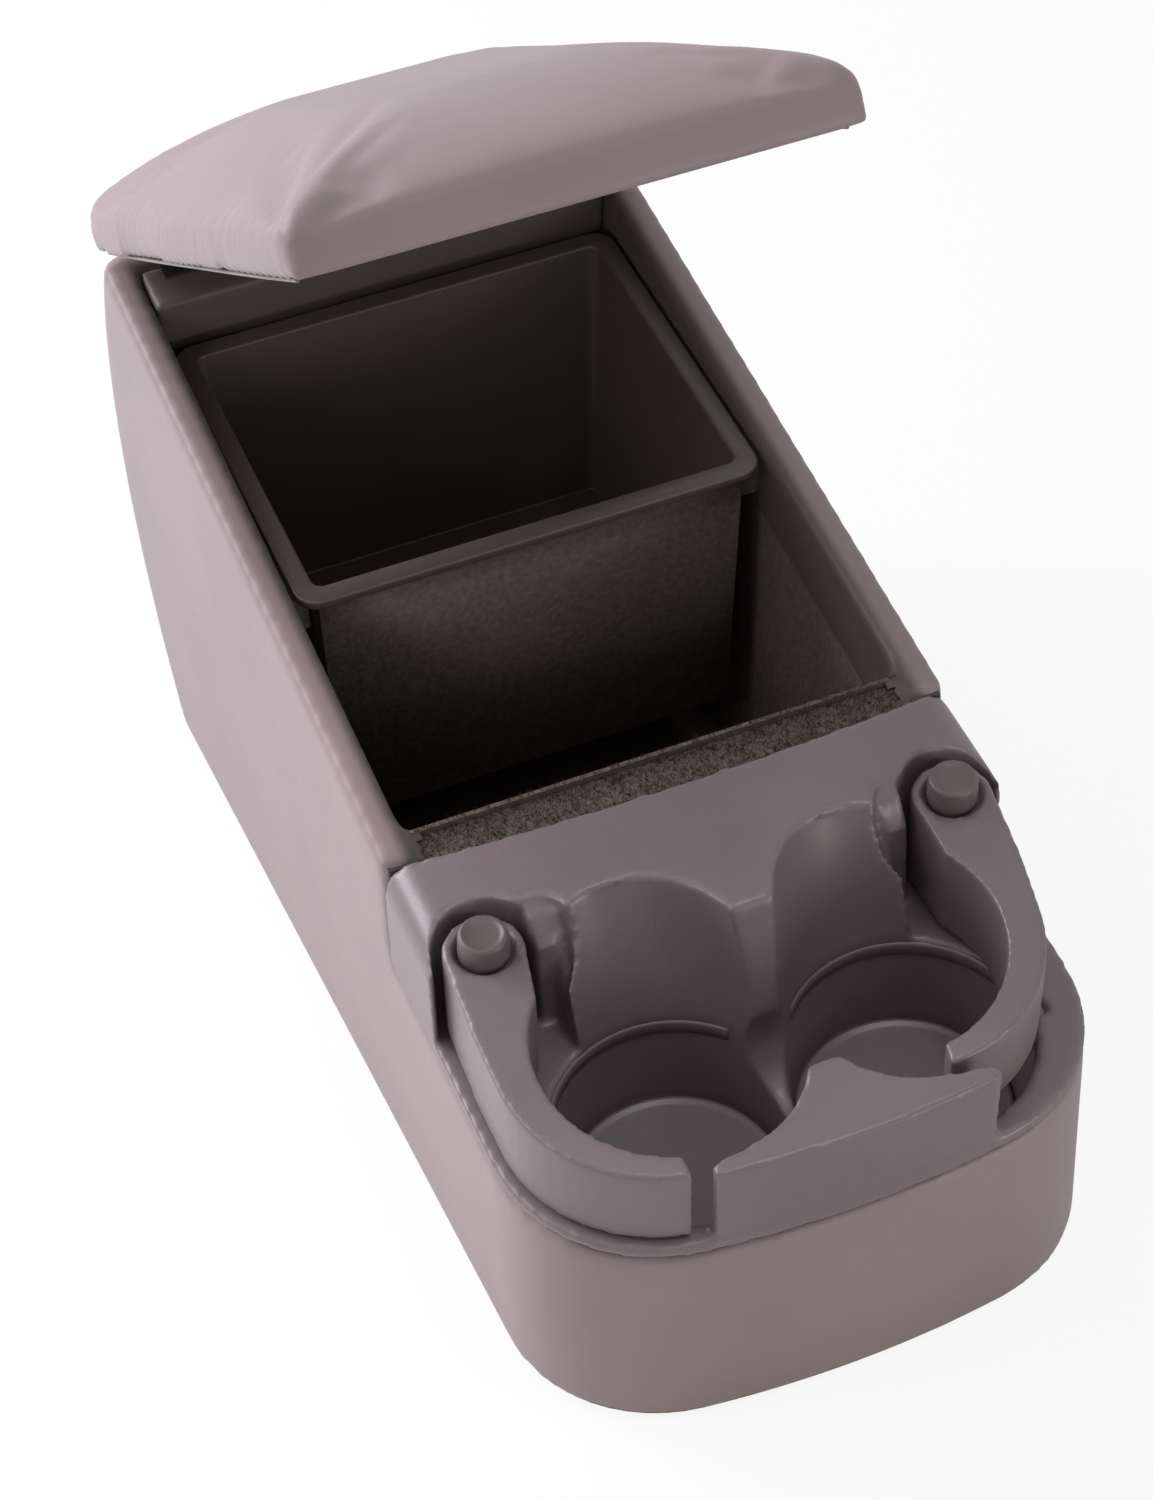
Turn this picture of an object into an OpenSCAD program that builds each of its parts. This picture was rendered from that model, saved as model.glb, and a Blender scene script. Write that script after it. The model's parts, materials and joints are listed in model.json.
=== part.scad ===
// Bench seat console: a covered storage box with a padded hinged lid, a lift-out bin and a
// cup holder front whose two arms swing in to grip the cup.
// X runs across the seat, +Y points to the seat back, and the base stands on Z = 0.

/* [Body] */
// Width of the body over its cover
body_w = 210; // [196:1:224]
// Length of the body from the grip's front to the belly of the back
body_l = 491; // [475:1:515]
// Thickness of the moulded shell's walls
shell_t = 9; // [7:0.5:10]
// Thickness of the padded vinyl cover
cover_t = 2.5; // [1.5:0.1:3.5]
// Thickness of the felt lining
felt_t = 1.5; // [1:0.1:2.5]
// Depth of the cover that is turned down inside the walls
turn_in = 34; // [20:1:50]
// Thickness of the base board
base_t = 9; // [6:0.5:12]
// Height of the cover's lower edge above the seat
cover_lift = 1; // [0.5:0.1:2]
// Height of the wall tops at their front end
wall_front_h = 158; // [154:1:166]
// Height of the wall tops at the hinge
wall_rear_h = 236; // [225:1:250]
// Height of the belly of the back, where the body is longest
belly_h = 118; // [100:1:135]
// How far the top of the back stands in front of the belly
back_rake = 38; // [30:1:45]
// How far the foot of the back stands in front of the belly
foot_rake = 24; // [16:1:30]
// Radius of the upright corners at the back
rear_r = 10; // [8:1:20]
// Angle by which the front wall leans back towards its foot
front_lean = 5; // [3:0.5:7]
// Thickness of the shell's wall under the tray
front_t = 4; // [3:0.5:4.5]
// Size of the blocks that take the tray's screws
block = 14; // [12:1:16]
// Thickness of the cross wall between tray and compartment
cross_t = 12; // [9:1:15]
// Depth of the hinge rail from front to back
rail_d = 24; // [22:1:30]
// Height of the hinge rail
rail_h = 26; // [20:1:32]

/* [Tray] */
// Angle by which the tray rises towards the back
deck_tilt = 9.3; // [8:0.1:10.5]
// Height of the tray's parting line at the arm pivots
pivot_h = 102.4; // [99:0.2:106]
// Distance from the tray's front edge back to the arm pivots
pivot_setback = 113; // [111:0.5:115]
// Distance of an arm pivot from the side of the body
pivot_inset = 19.5; // [18.5:0.1:20.5]
// Radius of the bow across the tray's front edge
bow_r = 383; // [340:1:420]
// Radius of the tray's front corners
corner_r = 57; // [52:1:60]
// Height of the deck above the parting line
deck_t = 5; // [4:0.5:6]
// Wall thickness of the tray moulding
tray_wall = 3; // [2.5:0.1:3.5]
// Height of the bulkhead's crown above the parting line
bulk_h = 57; // [54:0.5:60]
// Height of the bulkhead at the shoulders above the parting line
shoulder_h = 50; // [48:0.5:52]
// Depth of the bulkhead behind the pivots
bulk_rear = 43; // [41:0.5:45]
// How far the bulkhead's back edge bows forward in the middle
bulk_bow = 10; // [7:0.5:12]
// Height of the felted ledge behind the bulkhead's back edge
bulk_ledge_h = 45; // [42:0.5:47]
// Spacing of the two cup wells
cup_gap = 85; // [84:0.5:87]
// Distance of the cup wells in front of the pivots
cup_y = 60; // [59:0.5:61]
// Radius of a cup well at its mouth
cup_r = 42; // [40:0.5:42.5]
// Radius of a cup well at its floor
cup_floor_r = 38.3; // [36:0.1:40]
// Depth of a cup well below the parting line
cup_d = 36; // [30:1:42]
// Radius of the scoop behind a cup at the ledge
scoop_r = 49; // [48:0.5:50]
// Radius of the scoop at the bulkhead's crown
scoop_top_r = 33; // [31:0.5:36]
// Angle by which the scoop leans back
scoop_lean = 34; // [31:0.5:36]
// Radius of the pocket round an arm's pivot
pocket_r = 17.5; // [17:0.1:18]
// Height of the fixed centre grip above the parting line
grip_h = 39.5; // [37:0.5:42]
// Half width of the fixed centre grip
grip_half_w = 50; // [48:0.5:51]

/* [Arms] */
// Height of an arm's top above the parting line at its tip
arm_tip_h = 38.5; // [36:0.5:40]
// Height of an arm's top above the parting line at its pivot
arm_root_h = 47; // [45:0.5:49]
// Radius of the arm's round end at the pivot
arm_r = 14; // [13:0.1:14.5]
// Gap under an arm
arm_float = 1.2; // [1.1:0.1:2]
// Distance of the arm's outer face from the tray's edge
arm_inset = 3.5; // [3:0.1:4.5]
// Radius of the arm's grip face
arm_grip_r = 45; // [44.5:0.5:46]
// Distance of the arm's tip from the centre line
arm_tip_x = 56.5; // [55.5:0.5:60]
// Angle at which the left arm stands, swung in from the side
left_swing = 0; // [0:1:14]
// Angle at which the right arm stands, swung in from the side
right_swing = 11; // [0:1:14]

/* [Pivots] */
// Radius of the post that an arm turns on
post_r = 6; // [5.5:0.1:6.5]
// Clearance between the post and the arm's bore
post_gap = 0.3; // [0.2:0.05:0.5]
// Radius of the pivot cap at its foot
cap_r = 9; // [8.5:0.1:10]
// Radius of the pivot cap at its crown
cap_top_r = 7.8; // [7:0.1:8.2]
// Height of the pivot cap above the arm
cap_h = 8; // [6:0.5:10]
// Radius of the pivot cap's stem
stem_r = 3.6; // [3.2:0.1:4]
// Length of the pivot cap's stem
stem_l = 16; // [12:1:20]
// Radius of the small screws' shanks
screw_r = 1.6; // [1.3:0.1:1.8]
// Thickness of the washer under an arm
washer_t = 0.9; // [0.6:0.1:1]

/* [Bin] */
// Gap between the bin's rim and the lining beside it
bin_gap = 1.5; // [1:0.1:4]
// Length of the bin over its rim
bin_l = 151; // [144:1:154]
// Distance from the hinge forward to the bin's rim, along the tray's slope
bin_setback = 38.7614; // [36:0.1:42]
// Height of the bin's rim above the tray's parting plane
bin_rim_h = 56; // [52:0.5:58]
// Depth of the bin
bin_d = 128; // [115:1:132]
// Width of the bin's rim
rim_w = 8; // [7:0.5:9]
// Thickness of the bin's rim
rim_t = 4; // [3:0.5:5]
// Thickness of the bin's walls
bin_wall = 2.5; // [2:0.1:3]
// Radius of the bin's corners
bin_r = 9; // [8:0.5:12]
// Ratio of the bin's floor to its mouth
bin_draft = 0.95; // [0.9:0.01:1]
// Height of the cleats that carry the bin
cleat_h = 16; // [12:1:20]

/* [Lid] */
// Length of the lid from the hinge to its free edge
lid_l = 304; // [294:1:306]
// Width of the lid over its cover
lid_w = 211; // [200:1:214]
// Width of the lid at its free edge
lid_front_w = 195; // [188:1:208]
// Height of the lid's upholstered sides
lid_side_h = 17; // [14:1:24]
// Height of the lid's crown above its underside
lid_crown_h = 37; // [32:1:46]
// Radius of the lid's corners seen from above
lid_r = 6; // [4:1:14]
// Thickness of the lid's board
board_t = 9; // [7:0.5:10]
// Thickness of the cover round the board's edge
lid_edge_t = 5; // [4:0.5:7]
// Angle by which the lid stands open
lid_open = 40; // [0:1:90]
// Clearance under the closed lid
lid_gap = 0.8; // [0.5:0.1:1.2]

/* [Hinge] */
// Length of the strip hinge
hinge_l = 168; // [140:2:174]
// Radius of the hinge's knuckles
knuckle_r = 2.6; // [2.4:0.1:3]
// Radius of the hinge pin
hinge_pin_r = 1.2; // [1:0.1:1.4]
// Thickness of a hinge leaf
leaf_t = 1.2; // [1:0.1:1.4]
// Depth of a hinge leaf
leaf_d = 22; // [20:0.5:25]
// Number of knuckles along the hinge
knuckles = 14; // [8:2:20]
// Number of screws in a hinge leaf
leaf_screws = 5; // [3:1:7]

/* [Hidden] */

$fn = 64;
EPS = 0.01;
FAR = 800;
FIT = 0.3;

grip_inset = 1;
half_w = body_w / 2;
belly_y = body_l / 2;
pivot_y = -belly_y + (pivot_setback - grip_inset) * cos(deck_tilt) + grip_h * sin(deck_tilt);
pivot_x = half_w - pivot_inset;
cup_x = cup_gap / 2;
wall_in = cover_t + shell_t;
inner_half_w = half_w - wall_in;
cross_half_w = inner_half_w - felt_t;
hinge_y = belly_y - back_rake;
foot_y = belly_y - foot_rake;
bin_w = 2 * (cross_half_w - bin_gap);
bin_start = (hinge_y - pivot_y) * cos(deck_tilt) + (wall_rear_h - pivot_h) * sin(deck_tilt)
    - bin_setback - bin_l;
base_screw_setback = 61.5;
base_screw_gap = 100;
bay_front = bulk_rear + FIT;
cross_rear = bay_front + cross_t;
wall_front_y = pivot_y + bay_front * cos(deck_tilt) - shoulder_h * sin(deck_tilt);
wall_tilt = atan2(wall_rear_h - wall_front_h, hinge_y - wall_front_y);
arm_low = deck_t + arm_float;
post_top = arm_root_h + FIT;
cross_h = bulk_ledge_h - felt_t;
arm_reach = norm([pivot_x - arm_tip_x, edge_y(arm_tip_x, arm_inset)]) + 2 * FIT;
axis_lift = knuckle_r + FIT;
seat_z = -axis_lift * cos(wall_tilt);
board_z = -seat_z;
board_rear = knuckle_r + 1;
crown_steps = [[0.3, 4], [0.55, 11], [0.8, 26], [0.94, 44], [1, 64]];
leaf_screw_y = -0.75 * leaf_d;
tub_half_w = bin_w / 2 - rim_w + bin_wall;
skirt_h = 8;
skirt_inset = cover_t + front_t + skirt_h * tan(front_lean) + 2 * FIT;
ledge_z = 1.6;
ledge_front = 68;
scoop_back = 47;
scoop_low = scoop_r * sin(scoop_lean);
scoop_l = (bulk_h + 1 - ledge_z) / cos(scoop_lean) + scoop_top_r * sin(scoop_lean);
scoop_taper = (scoop_r - scoop_top_r) / scoop_l;
bow_half = half_w - 8;
bulk_back_r = (bulk_bow * bulk_bow + bow_half * bow_half) / (2 * bulk_bow);
flank_r = 12;
flank_x = half_w - flank_r;
crown_r = (flank_x * flank_x + pow(bulk_h - shoulder_h, 2)) / (2 * (bulk_h - shoulder_h));
tray_screw_x = half_w - cover_t - front_t - block / 2;
tray_screw_ys = [-28, 28];
pin_head_z = 20;
nose_half_w = pivot_x - pocket_r - 3;
nose_foot_y = 16 - cup_y;
nose_top_y = -24;
knuckle_l = hinge_l / knuckles;
head_r = 2 * screw_r;
head_h = screw_r;
wood_screw_l = 20;
cross_foot_y = pivot_y + (bay_front + cross_t / 2) * cos(deck_tilt)
    + (pivot_h - wood_screw_l / 2) * tan(deck_tilt);

// Place of the tray's front edge at a distance x from the middle
function edge_y(x, inset) =
    -pivot_setback + bow_r - sqrt(pow(bow_r - inset, 2) - x * x);
function arc_points(centre, r, from, to, steps) =
    [for (i = [0:steps]) let (a = from + (to - from) * i / steps) centre + r * [cos(a), sin(a)]];
// Half of the front outline seen from above: the bow, the corner and the side
function front_half(inset) =
    let (bow = bow_r - inset, corner = corner_r - inset, side = half_w - inset,
        bow_y = -pivot_setback + bow_r,
        corner_y = bow_y - sqrt(pow(bow - corner, 2) - pow(side - corner, 2)),
        turn = atan2(side - corner, bow_y - corner_y))
    concat(arc_points([0, bow_y], bow, -90, -90 + turn, 8),
        arc_points([side - corner, corner_y], corner, -90 + turn, 0, 12));
function mirrored(points) = [for (i = [len(points) - 1:-1:1]) [-points[i][0], points[i][1]]];
// Seen from the side the back is one arc through its foot, belly and top
function back_centre() =
    let (p = [foot_y, 0], q = [belly_y, belly_h], r = [hinge_y, wall_rear_h],
        d = 2 * (p[0] * (q[1] - r[1]) + q[0] * (r[1] - p[1]) + r[0] * (p[1] - q[1])))
    [((p * p) * (q[1] - r[1]) + (q * q) * (r[1] - p[1]) + (r * r) * (p[1] - q[1])) / d,
        ((p * p) * (r[0] - q[0]) + (q * q) * (p[0] - r[0]) + (r * r) * (q[0] - p[0])) / d];
function back_radius() = norm(back_centre() - [belly_y, belly_h]);

module deck_frame() translate([0, pivot_y, pivot_h]) rotate([deck_tilt, 0, 0]) children();
module hinge_frame(open) translate([0, hinge_y, wall_rear_h + axis_lift])
    rotate([wall_tilt - open, 0, 0]) children();
module on_side(side) if (side > 0) children(); else mirror([1, 0, 0]) children();
module across(half) translate([-half, 0, 0]) rotate([90, 0, 90]) linear_extrude(2 * half)
    children();
module front_outline(inset, rear) polygon(concat(front_half(inset),
    [[half_w - inset, rear], [inset - half_w, rear]], mirrored(front_half(inset))));
module rounded_box(w, l, r) {
    square([w - 2 * r, l], center = true);
    square([w, l - 2 * r], center = true);
    for (x = [-1, 1], y = [-1, 1]) translate([x * (w / 2 - r), y * (l / 2 - r)]) circle(r);
}
module box(x0, x1, y0, y1, z0, z1) translate([x0, y0, z0]) cube([x1 - x0, y1 - y0, z1 - z0]);
module wood_screw(length) {
    translate([0, 0, -head_h]) cylinder(h = head_h, r1 = screw_r, r2 = head_r);
    translate([0, 0, -length]) cylinder(h = length - head_h + EPS, r = screw_r);
}

// All that lies below the wall tops and behind the front wall, drawn in by inset
module body_solid(inset, low) difference() {
    intersection() {
        translate([0, pivot_y, pivot_h]) rotate([front_lean, 0, 0])
            translate([0, 0, -FAR / 2]) linear_extrude(FAR) front_outline(inset, FAR);
        round_back(half_w - inset, back_radius() - inset, rear_r - inset);
        across(half_w + EPS)
            polygon([[-FAR, low], [FAR, low], [FAR, wall_z(FAR, inset)], [-FAR, wall_z(-FAR, inset)]]);
    }
    deck_frame() box(-FAR, FAR, -FAR, bay_front, 0, FAR);
}
// The back is turned about the centre of its arc, so that its upright edges are round
module round_back(half, r, corner) {
    box(-half, half, -FAR, back_centre()[0], -FAR, FAR);
    translate([0, back_centre()[0], back_centre()[1]]) rotate([0, 90, 0])
        rotate_extrude($fn = 180) {
            translate([0, -half]) square([r - corner, 2 * half]);
            translate([0, corner - half]) square([r, 2 * (half - corner)]);
            for (side = [-1, 1]) translate([r - corner, side * (half - corner)])
                circle(corner);
        }
}
// Height of the wall tops at y, drawn in by inset
function wall_z(y, inset) = wall_rear_h - (hinge_y - y) * tan(wall_tilt) - inset;

// The main compartment between the cross wall and the back, drawn in by inset
module bay(inset) difference() {
    across(inner_half_w - inset) intersection() {
        translate(back_centre()) circle(back_radius() - wall_in - inset, $fn = 180);
        translate([-FAR, base_t + inset]) square(2 * FAR);
    }
    deck_frame() box(-FAR, FAR, -FAR, cross_rear + inset, -FAR, FAR);
}
// The closed space under the tray
module front_bay() difference() {
    intersection() {
        translate([0, pivot_y, pivot_h]) rotate([front_lean, 0, 0])
            translate([0, 0, -FAR / 2]) linear_extrude(FAR)
                front_outline(cover_t + front_t, FAR);
        box(-FAR, FAR, -FAR, FAR, base_t, FAR);
        deck_frame() box(-FAR, FAR, -FAR, bay_front, -FAR, FAR);
    }
    deck_frame() for (side = [-1, 1], y = tray_screw_ys) translate([side * tray_screw_x, y, -block / 2])
        cube(block, center = true);
}

module base_board() color("burlywood") difference() {
    intersection() {
        body_solid(cover_t, 0);
        box(-FAR, FAR, -FAR, FAR, 0, base_t - EPS);
    }
    base_screw_places() rotate([180, 0, 0]) wood_screw(wood_screw_l + 1);
}
module base_screw_places() {
    edge = half_w - cover_t - shell_t / 2;
    for (x = [-edge, edge], i = [0:2])
        translate([x, foot_y - base_screw_setback - i * base_screw_gap, 0]) children();
    for (x = [-edge, edge] / 2) translate([x, cross_foot_y, 0]) children();
}
module base_screws() color("dimgray") base_screw_places() rotate([180, 0, 0])
    wood_screw(wood_screw_l);

module body_shell() color("tan") difference() {
    intersection() {
        body_solid(cover_t, 0);
        box(-FAR, FAR, -FAR, FAR, base_t, FAR);
    }
    bay(0);
    front_bay();
    cross_notch(0);
    deck_frame() tray_screw_places() translate([0, 0, -block - EPS])
        cylinder(h = 2 * block, r = screw_r + 0.2);
    base_screw_places() rotate([180, 0, 0]) wood_screw(wood_screw_l + 1);
}
module vinyl_cover() color("rosybrown") difference() {
    body_solid(0, cover_lift);
    difference() {
        body_solid(cover_t, -EPS);
        intersection() {
            bay(0);
            turned_in(0);
        }
    }
    bay(felt_t);
    cross_notch(felt_t / 2);
}
// All behind the cross wall that lies above the lower edge of the turned-in cover
module turned_in(gap) difference() {
    low = turn_in + gap;
    across(FAR) polygon([[-FAR, wall_z(-FAR, low)], [FAR, wall_z(FAR, low)], [FAR, FAR], [-FAR, FAR]]);
    deck_frame() box(-FAR, FAR, -FAR, cross_rear + felt_t + EPS - gap, -FAR, FAR);
}
// The room over the cross wall, grown to its sides and to the back
module cross_notch(grow) deck_frame()
    box(-cross_half_w - grow, cross_half_w + grow, 0, cross_rear + felt_t + grow, cross_h, FAR);
module felt_liner() color("#2a2422") {
    difference() {
        intersection() {
            body_solid(cover_t, 0);
            bay(0);
        }
        bay(felt_t);
        turned_in(EPS);
    }
    deck_frame() intersection() {
        box(-cross_half_w, cross_half_w, bulk_rear - bulk_bow, cross_rear, cross_h, bulk_ledge_h);
        bulk_back(FIT);
    }
}
module storage_bin() color("#3a3230") deck_frame()
    translate([0, bin_start + bin_l / 2, bin_rim_h]) difference() {
        union() {
            translate([0, 0, -rim_t]) linear_extrude(rim_t) rounded_box(bin_w, bin_l, bin_r);
            mirror([0, 0, 1]) linear_extrude(bin_d, scale = bin_draft)
                rounded_box(2 * tub_half_w, bin_l - 2 * (rim_w - bin_wall), bin_r - bin_wall);
        }
        translate([0, 0, EPS]) mirror([0, 0, 1]) linear_extrude(bin_d - bin_wall, scale = bin_draft)
            rounded_box(bin_w - 2 * rim_w, bin_l - 2 * rim_w, bin_r - 2 * bin_wall);
    }
module bin_cleat(side) color("#2a2422") on_side(side) deck_frame()
    box(tub_half_w + FIT, inner_half_w - felt_t - EPS, bin_start + bin_r, bin_start + bin_l - bin_r,
        bin_rim_h - rim_t - cleat_h, bin_rim_h - rim_t);
module bin_cleat_left() bin_cleat(-1);
module bin_cleat_right() bin_cleat(1);

module hinge_rail() color("#3a3230") difference() {
    intersection() {
        bay(felt_t);
        hinge_frame(0) box(-FAR, FAR, -rail_d - wall_in, FAR, seat_z - rail_h, seat_z);
    }
    rail_screw_places() wood_screw(wood_screw_l);
    leaf_screw_places() translate([0, 0, seat_z + leaf_t]) wood_screw(wood_screw_l / 2);
}
module rail_screw_places() hinge_frame(0) for (x = [-1, 1], z = [0.3, 0.75])
    translate([x * (inner_half_w - felt_t - shell_t), -rail_d - wall_in, seat_z - rail_h * z])
        rotate([90, 0, 0]) children();
module rail_screws() color("dimgray") rail_screw_places() wood_screw(wood_screw_l - 1);

module hinge_barrel(odd) for (i = [0:knuckles - 1]) if (i % 2 == odd) {
    x0 = -hinge_l / 2 + i * knuckle_l + FIT / 2;
    x1 = x0 + knuckle_l - FIT;
    translate([x0, 0, 0]) rotate([0, 90, 0]) cylinder(h = x1 - x0, r = knuckle_r);
    if (odd == 0) box(x0, x1, -knuckle_r - 1, 0, seat_z + EPS, seat_z + leaf_t);
    else box(x0, x1, -knuckle_r - 1, 0, board_z - leaf_t, board_z);
}
module hinge_bore() translate([-FAR / 2, 0, 0]) rotate([0, 90, 0])
    cylinder(h = FAR, r = hinge_pin_r + 0.1);
module leaf_screw_spots() for (i = [0:leaf_screws - 1])
    translate([hinge_l * ((i + 0.5) / leaf_screws - 0.5), leaf_screw_y, 0]) children();
module leaf_screw_places() hinge_frame(0) leaf_screw_spots() children();
module hinge_leaf_body() color("silver") hinge_frame(0) difference() {
    union() {
        hinge_barrel(0);
        box(-hinge_l / 2, hinge_l / 2, -leaf_d, -knuckle_r - FIT, seat_z + EPS, seat_z + leaf_t);
    }
    hinge_bore();
    leaf_screw_spots() translate([0, 0, seat_z + leaf_t]) wood_screw(wood_screw_l / 2);
}
module hinge_leaf_lid() color("silver") hinge_frame(lid_open) difference() {
    union() {
        hinge_barrel(1);
        box(-hinge_l / 2, hinge_l / 2, -leaf_d, -knuckle_r - FIT, board_z - leaf_t, board_z);
    }
    hinge_bore();
    leaf_screw_spots() translate([0, 0, board_z - leaf_t]) rotate([180, 0, 0])
        wood_screw(board_t);
}
module hinge_pin() color("gray") hinge_frame(0) translate([-hinge_l / 2, 0, 0])
    rotate([0, 90, 0]) cylinder(h = hinge_l, r = hinge_pin_r);
module hinge_screws_body() color("dimgray") leaf_screw_places()
    translate([0, 0, seat_z + leaf_t]) wood_screw(wood_screw_l / 2 - 1);
module hinge_screws_lid() color("dimgray") hinge_frame(lid_open) leaf_screw_spots()
    translate([0, 0, board_z - leaf_t]) rotate([180, 0, 0]) wood_screw(board_t - 1);

// The lid seen from above, drawn in by inset and ending at rear
module lid_plan(inset, rear) {
    r = max(lid_r - inset, 1);
    front = lid_front_w / 2 - inset;
    slope = (lid_w - lid_front_w) / 2 / lid_l;
    back = front + (lid_l - inset - rear) * slope;
    edge = inset - lid_l;
    polygon(concat(arc_points([front - r, edge + r], r, -90, 0, 6), [[back, -rear], [-back, -rear]],
        arc_points([r - front, edge + r], r, -180, -90, 6)));
}
module lid_board() color("burlywood") hinge_frame(lid_open) difference() {
    translate([0, 0, board_z]) linear_extrude(board_t) lid_plan(lid_edge_t, board_rear);
    leaf_screw_spots() translate([0, 0, board_z - leaf_t]) rotate([180, 0, 0])
        wood_screw(board_t);
}
module lid_lining() color("#3a3230") hinge_frame(lid_open)
    translate([0, 0, board_z - 2 * leaf_t]) linear_extrude(2 * leaf_t - EPS)
        lid_plan(lid_edge_t + FIT, leaf_d + 2);
module lid_cushion() color("rosybrown") hinge_frame(lid_open) difference() {
    hull() {
        translate([0, 0, seat_z + lid_gap]) linear_extrude(lid_side_h - lid_gap) lid_plan(0, 0);
        for (step = crown_steps) translate([0, 0, seat_z + lid_side_h])
            linear_extrude((lid_crown_h - lid_side_h) * step[0]) lid_plan(step[1], step[1]);
    }
    translate([0, 0, -FAR]) linear_extrude(FAR + board_z + board_t + FIT)
        lid_plan(lid_edge_t - FIT, board_rear - FIT);
    box(-hinge_l / 2 - 2, hinge_l / 2 + 2, -leaf_d, FAR, -FAR, board_z + FIT);
}

// The space behind the bulkhead's bowed back edge
module bulk_back(gap) translate([0, bulk_rear - bulk_bow + bulk_back_r, 0])
    cylinder(h = FAR, r = bulk_back_r - gap, $fn = 180);
// The bulkhead seen from the front: a low crown between two round shoulders
module crown_profile(inset) polygon(concat([[-half_w + inset, -FAR], [half_w - inset, -FAR]],
    arc_points([flank_x, shoulder_h - flank_r], flank_r - inset, 0, 90, 8),
    arc_points([0, bulk_h - crown_r], crown_r - inset, 90 - asin(flank_x / crown_r),
        90 + asin(flank_x / crown_r), 16),
    arc_points([-flank_x, shoulder_h - flank_r], flank_r - inset, 90, 180, 8)));
// The bulkhead seen from the side: a round front edge and a long nose between the cups
module bulk_profile(inset) polygon(concat([[inset, -FAR]],
    arc_points([flank_r, bulk_h - flank_r], flank_r - inset, 180, 90, 8),
    [[bulk_rear - inset, bulk_h - inset], [bulk_rear - inset, -FAR]]));
module nose_profile() polygon([[nose_foot_y, 1], [nose_foot_y, ledge_z], [nose_top_y, bulk_h + 1],
    [flank_r, bulk_h + 1], [flank_r, 1]]);
module bulkhead() intersection() {
    union() {
        across(half_w) bulk_profile(0);
        across(nose_half_w) nose_profile();
    }
    translate([0, FAR / 2, 0]) rotate([90, 0, 0]) linear_extrude(FAR) crown_profile(0);
    box(-FAR, FAR, -FAR, FAR, 1, FAR);
}
module at_cups() for (side = [-1, 1]) translate([side * cup_x, -cup_y, 0]) children();
module at_pivots() for (side = [-1, 1]) translate([side * pivot_x, 0, 0]) children();
module tray_screw_places() for (side = [-1, 1], y = tray_screw_ys)
    translate([side * tray_screw_x, y, 0]) children();
// The flared room behind each cup
module scoops() intersection() {
    at_cups() translate([0, scoop_back - scoop_r / cos(scoop_lean), ledge_z]) rotate([-scoop_lean, 0, 0])
        translate([0, 0, -scoop_low]) cylinder(h = scoop_low + scoop_l, r1 = scoop_r + scoop_low * scoop_taper,
            r2 = scoop_top_r);
    box(-FAR, FAR, -ledge_front, FAR, ledge_z, FAR);
}
// The room that the round end of each arm turns in
module arm_pockets() {
    at_pivots() cylinder(h = FAR, r = pocket_r);
    for (side = [-1, 1]) translate([side * (pivot_x - pocket_r), -2, 0])
        cylinder(h = FAR, r = arm_r - 2);
}
module grip_plan() intersection() {
    front_outline(grip_inset, 0);
    difference() {
        translate([-grip_half_w, -FAR]) square([2 * grip_half_w, FAR - cup_y - 20]);
        at_pivots() circle(arm_reach + FIT, $fn = 120);
    }
}
module cupholder_tray() color("#6f6468") deck_frame() difference() {
    union() {
        difference() {
            union() {
                linear_extrude(deck_t) front_outline(0, bulk_rear);
                difference() {
                    bulkhead();
                    arm_pockets();
                }
            }
            scoops();
            intersection() {
                bulk_back(0);
                box(-FAR, FAR, 0, FAR, cross_h - FIT, FAR);
            }
        }
        linear_extrude(grip_h) grip_plan();
        intersection() {
            at_cups() translate([0, 0, -cup_d - tray_wall])
                cylinder(h = cup_d + tray_wall + 1, r1 = cup_floor_r + tray_wall, r2 = cup_r + tray_wall);
            translate([0, 0, -FAR / 2]) linear_extrude(FAR) front_outline(cover_t + front_t + FIT, FAR);
        }
        translate([0, 0, -skirt_h]) linear_extrude(skirt_h + 1) difference() {
            front_outline(skirt_inset, bay_front - 2 * FIT - tray_wall);
            front_outline(skirt_inset + tray_wall, bulk_rear - 3 * tray_wall);
            for (side = [-1, 1], y = tray_screw_ys) translate([side * tray_screw_x, y])
                square(block + 2, center = true);
        }
        at_pivots() translate([0, 0, 1]) cylinder(h = post_top - 1, r = post_r);
    }
    box(-cup_x, cup_x, tray_wall, bulk_rear - bulk_bow - tray_wall, -1, cross_h - tray_wall);
    at_cups() translate([0, 0, -cup_d]) cylinder(h = cup_d + EPS, r1 = cup_floor_r, r2 = cup_r);
    at_cups() translate([0, 0, -EPS]) cylinder(h = FAR, r = cup_r);
    at_pivots() {
        translate([0, 0, post_top - stem_l - FIT]) cylinder(h = FAR, r = stem_r + 0.15);
        translate([0, 0, -FAR / 2]) cylinder(h = FAR, r = screw_r + 0.2);
        translate([0, 0, pin_head_z - FAR]) cylinder(h = FAR, r = head_r + 0.2);
    }
    tray_screw_places() translate([0, 0, -EPS]) cylinder(h = deck_t - 1, r = screw_r + 0.1);
}
module tray_screws() color("dimgray") deck_frame() tray_screw_places()
    translate([0, 0, -block - head_h]) rotate([180, 0, 0]) wood_screw(block + deck_t);

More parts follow.
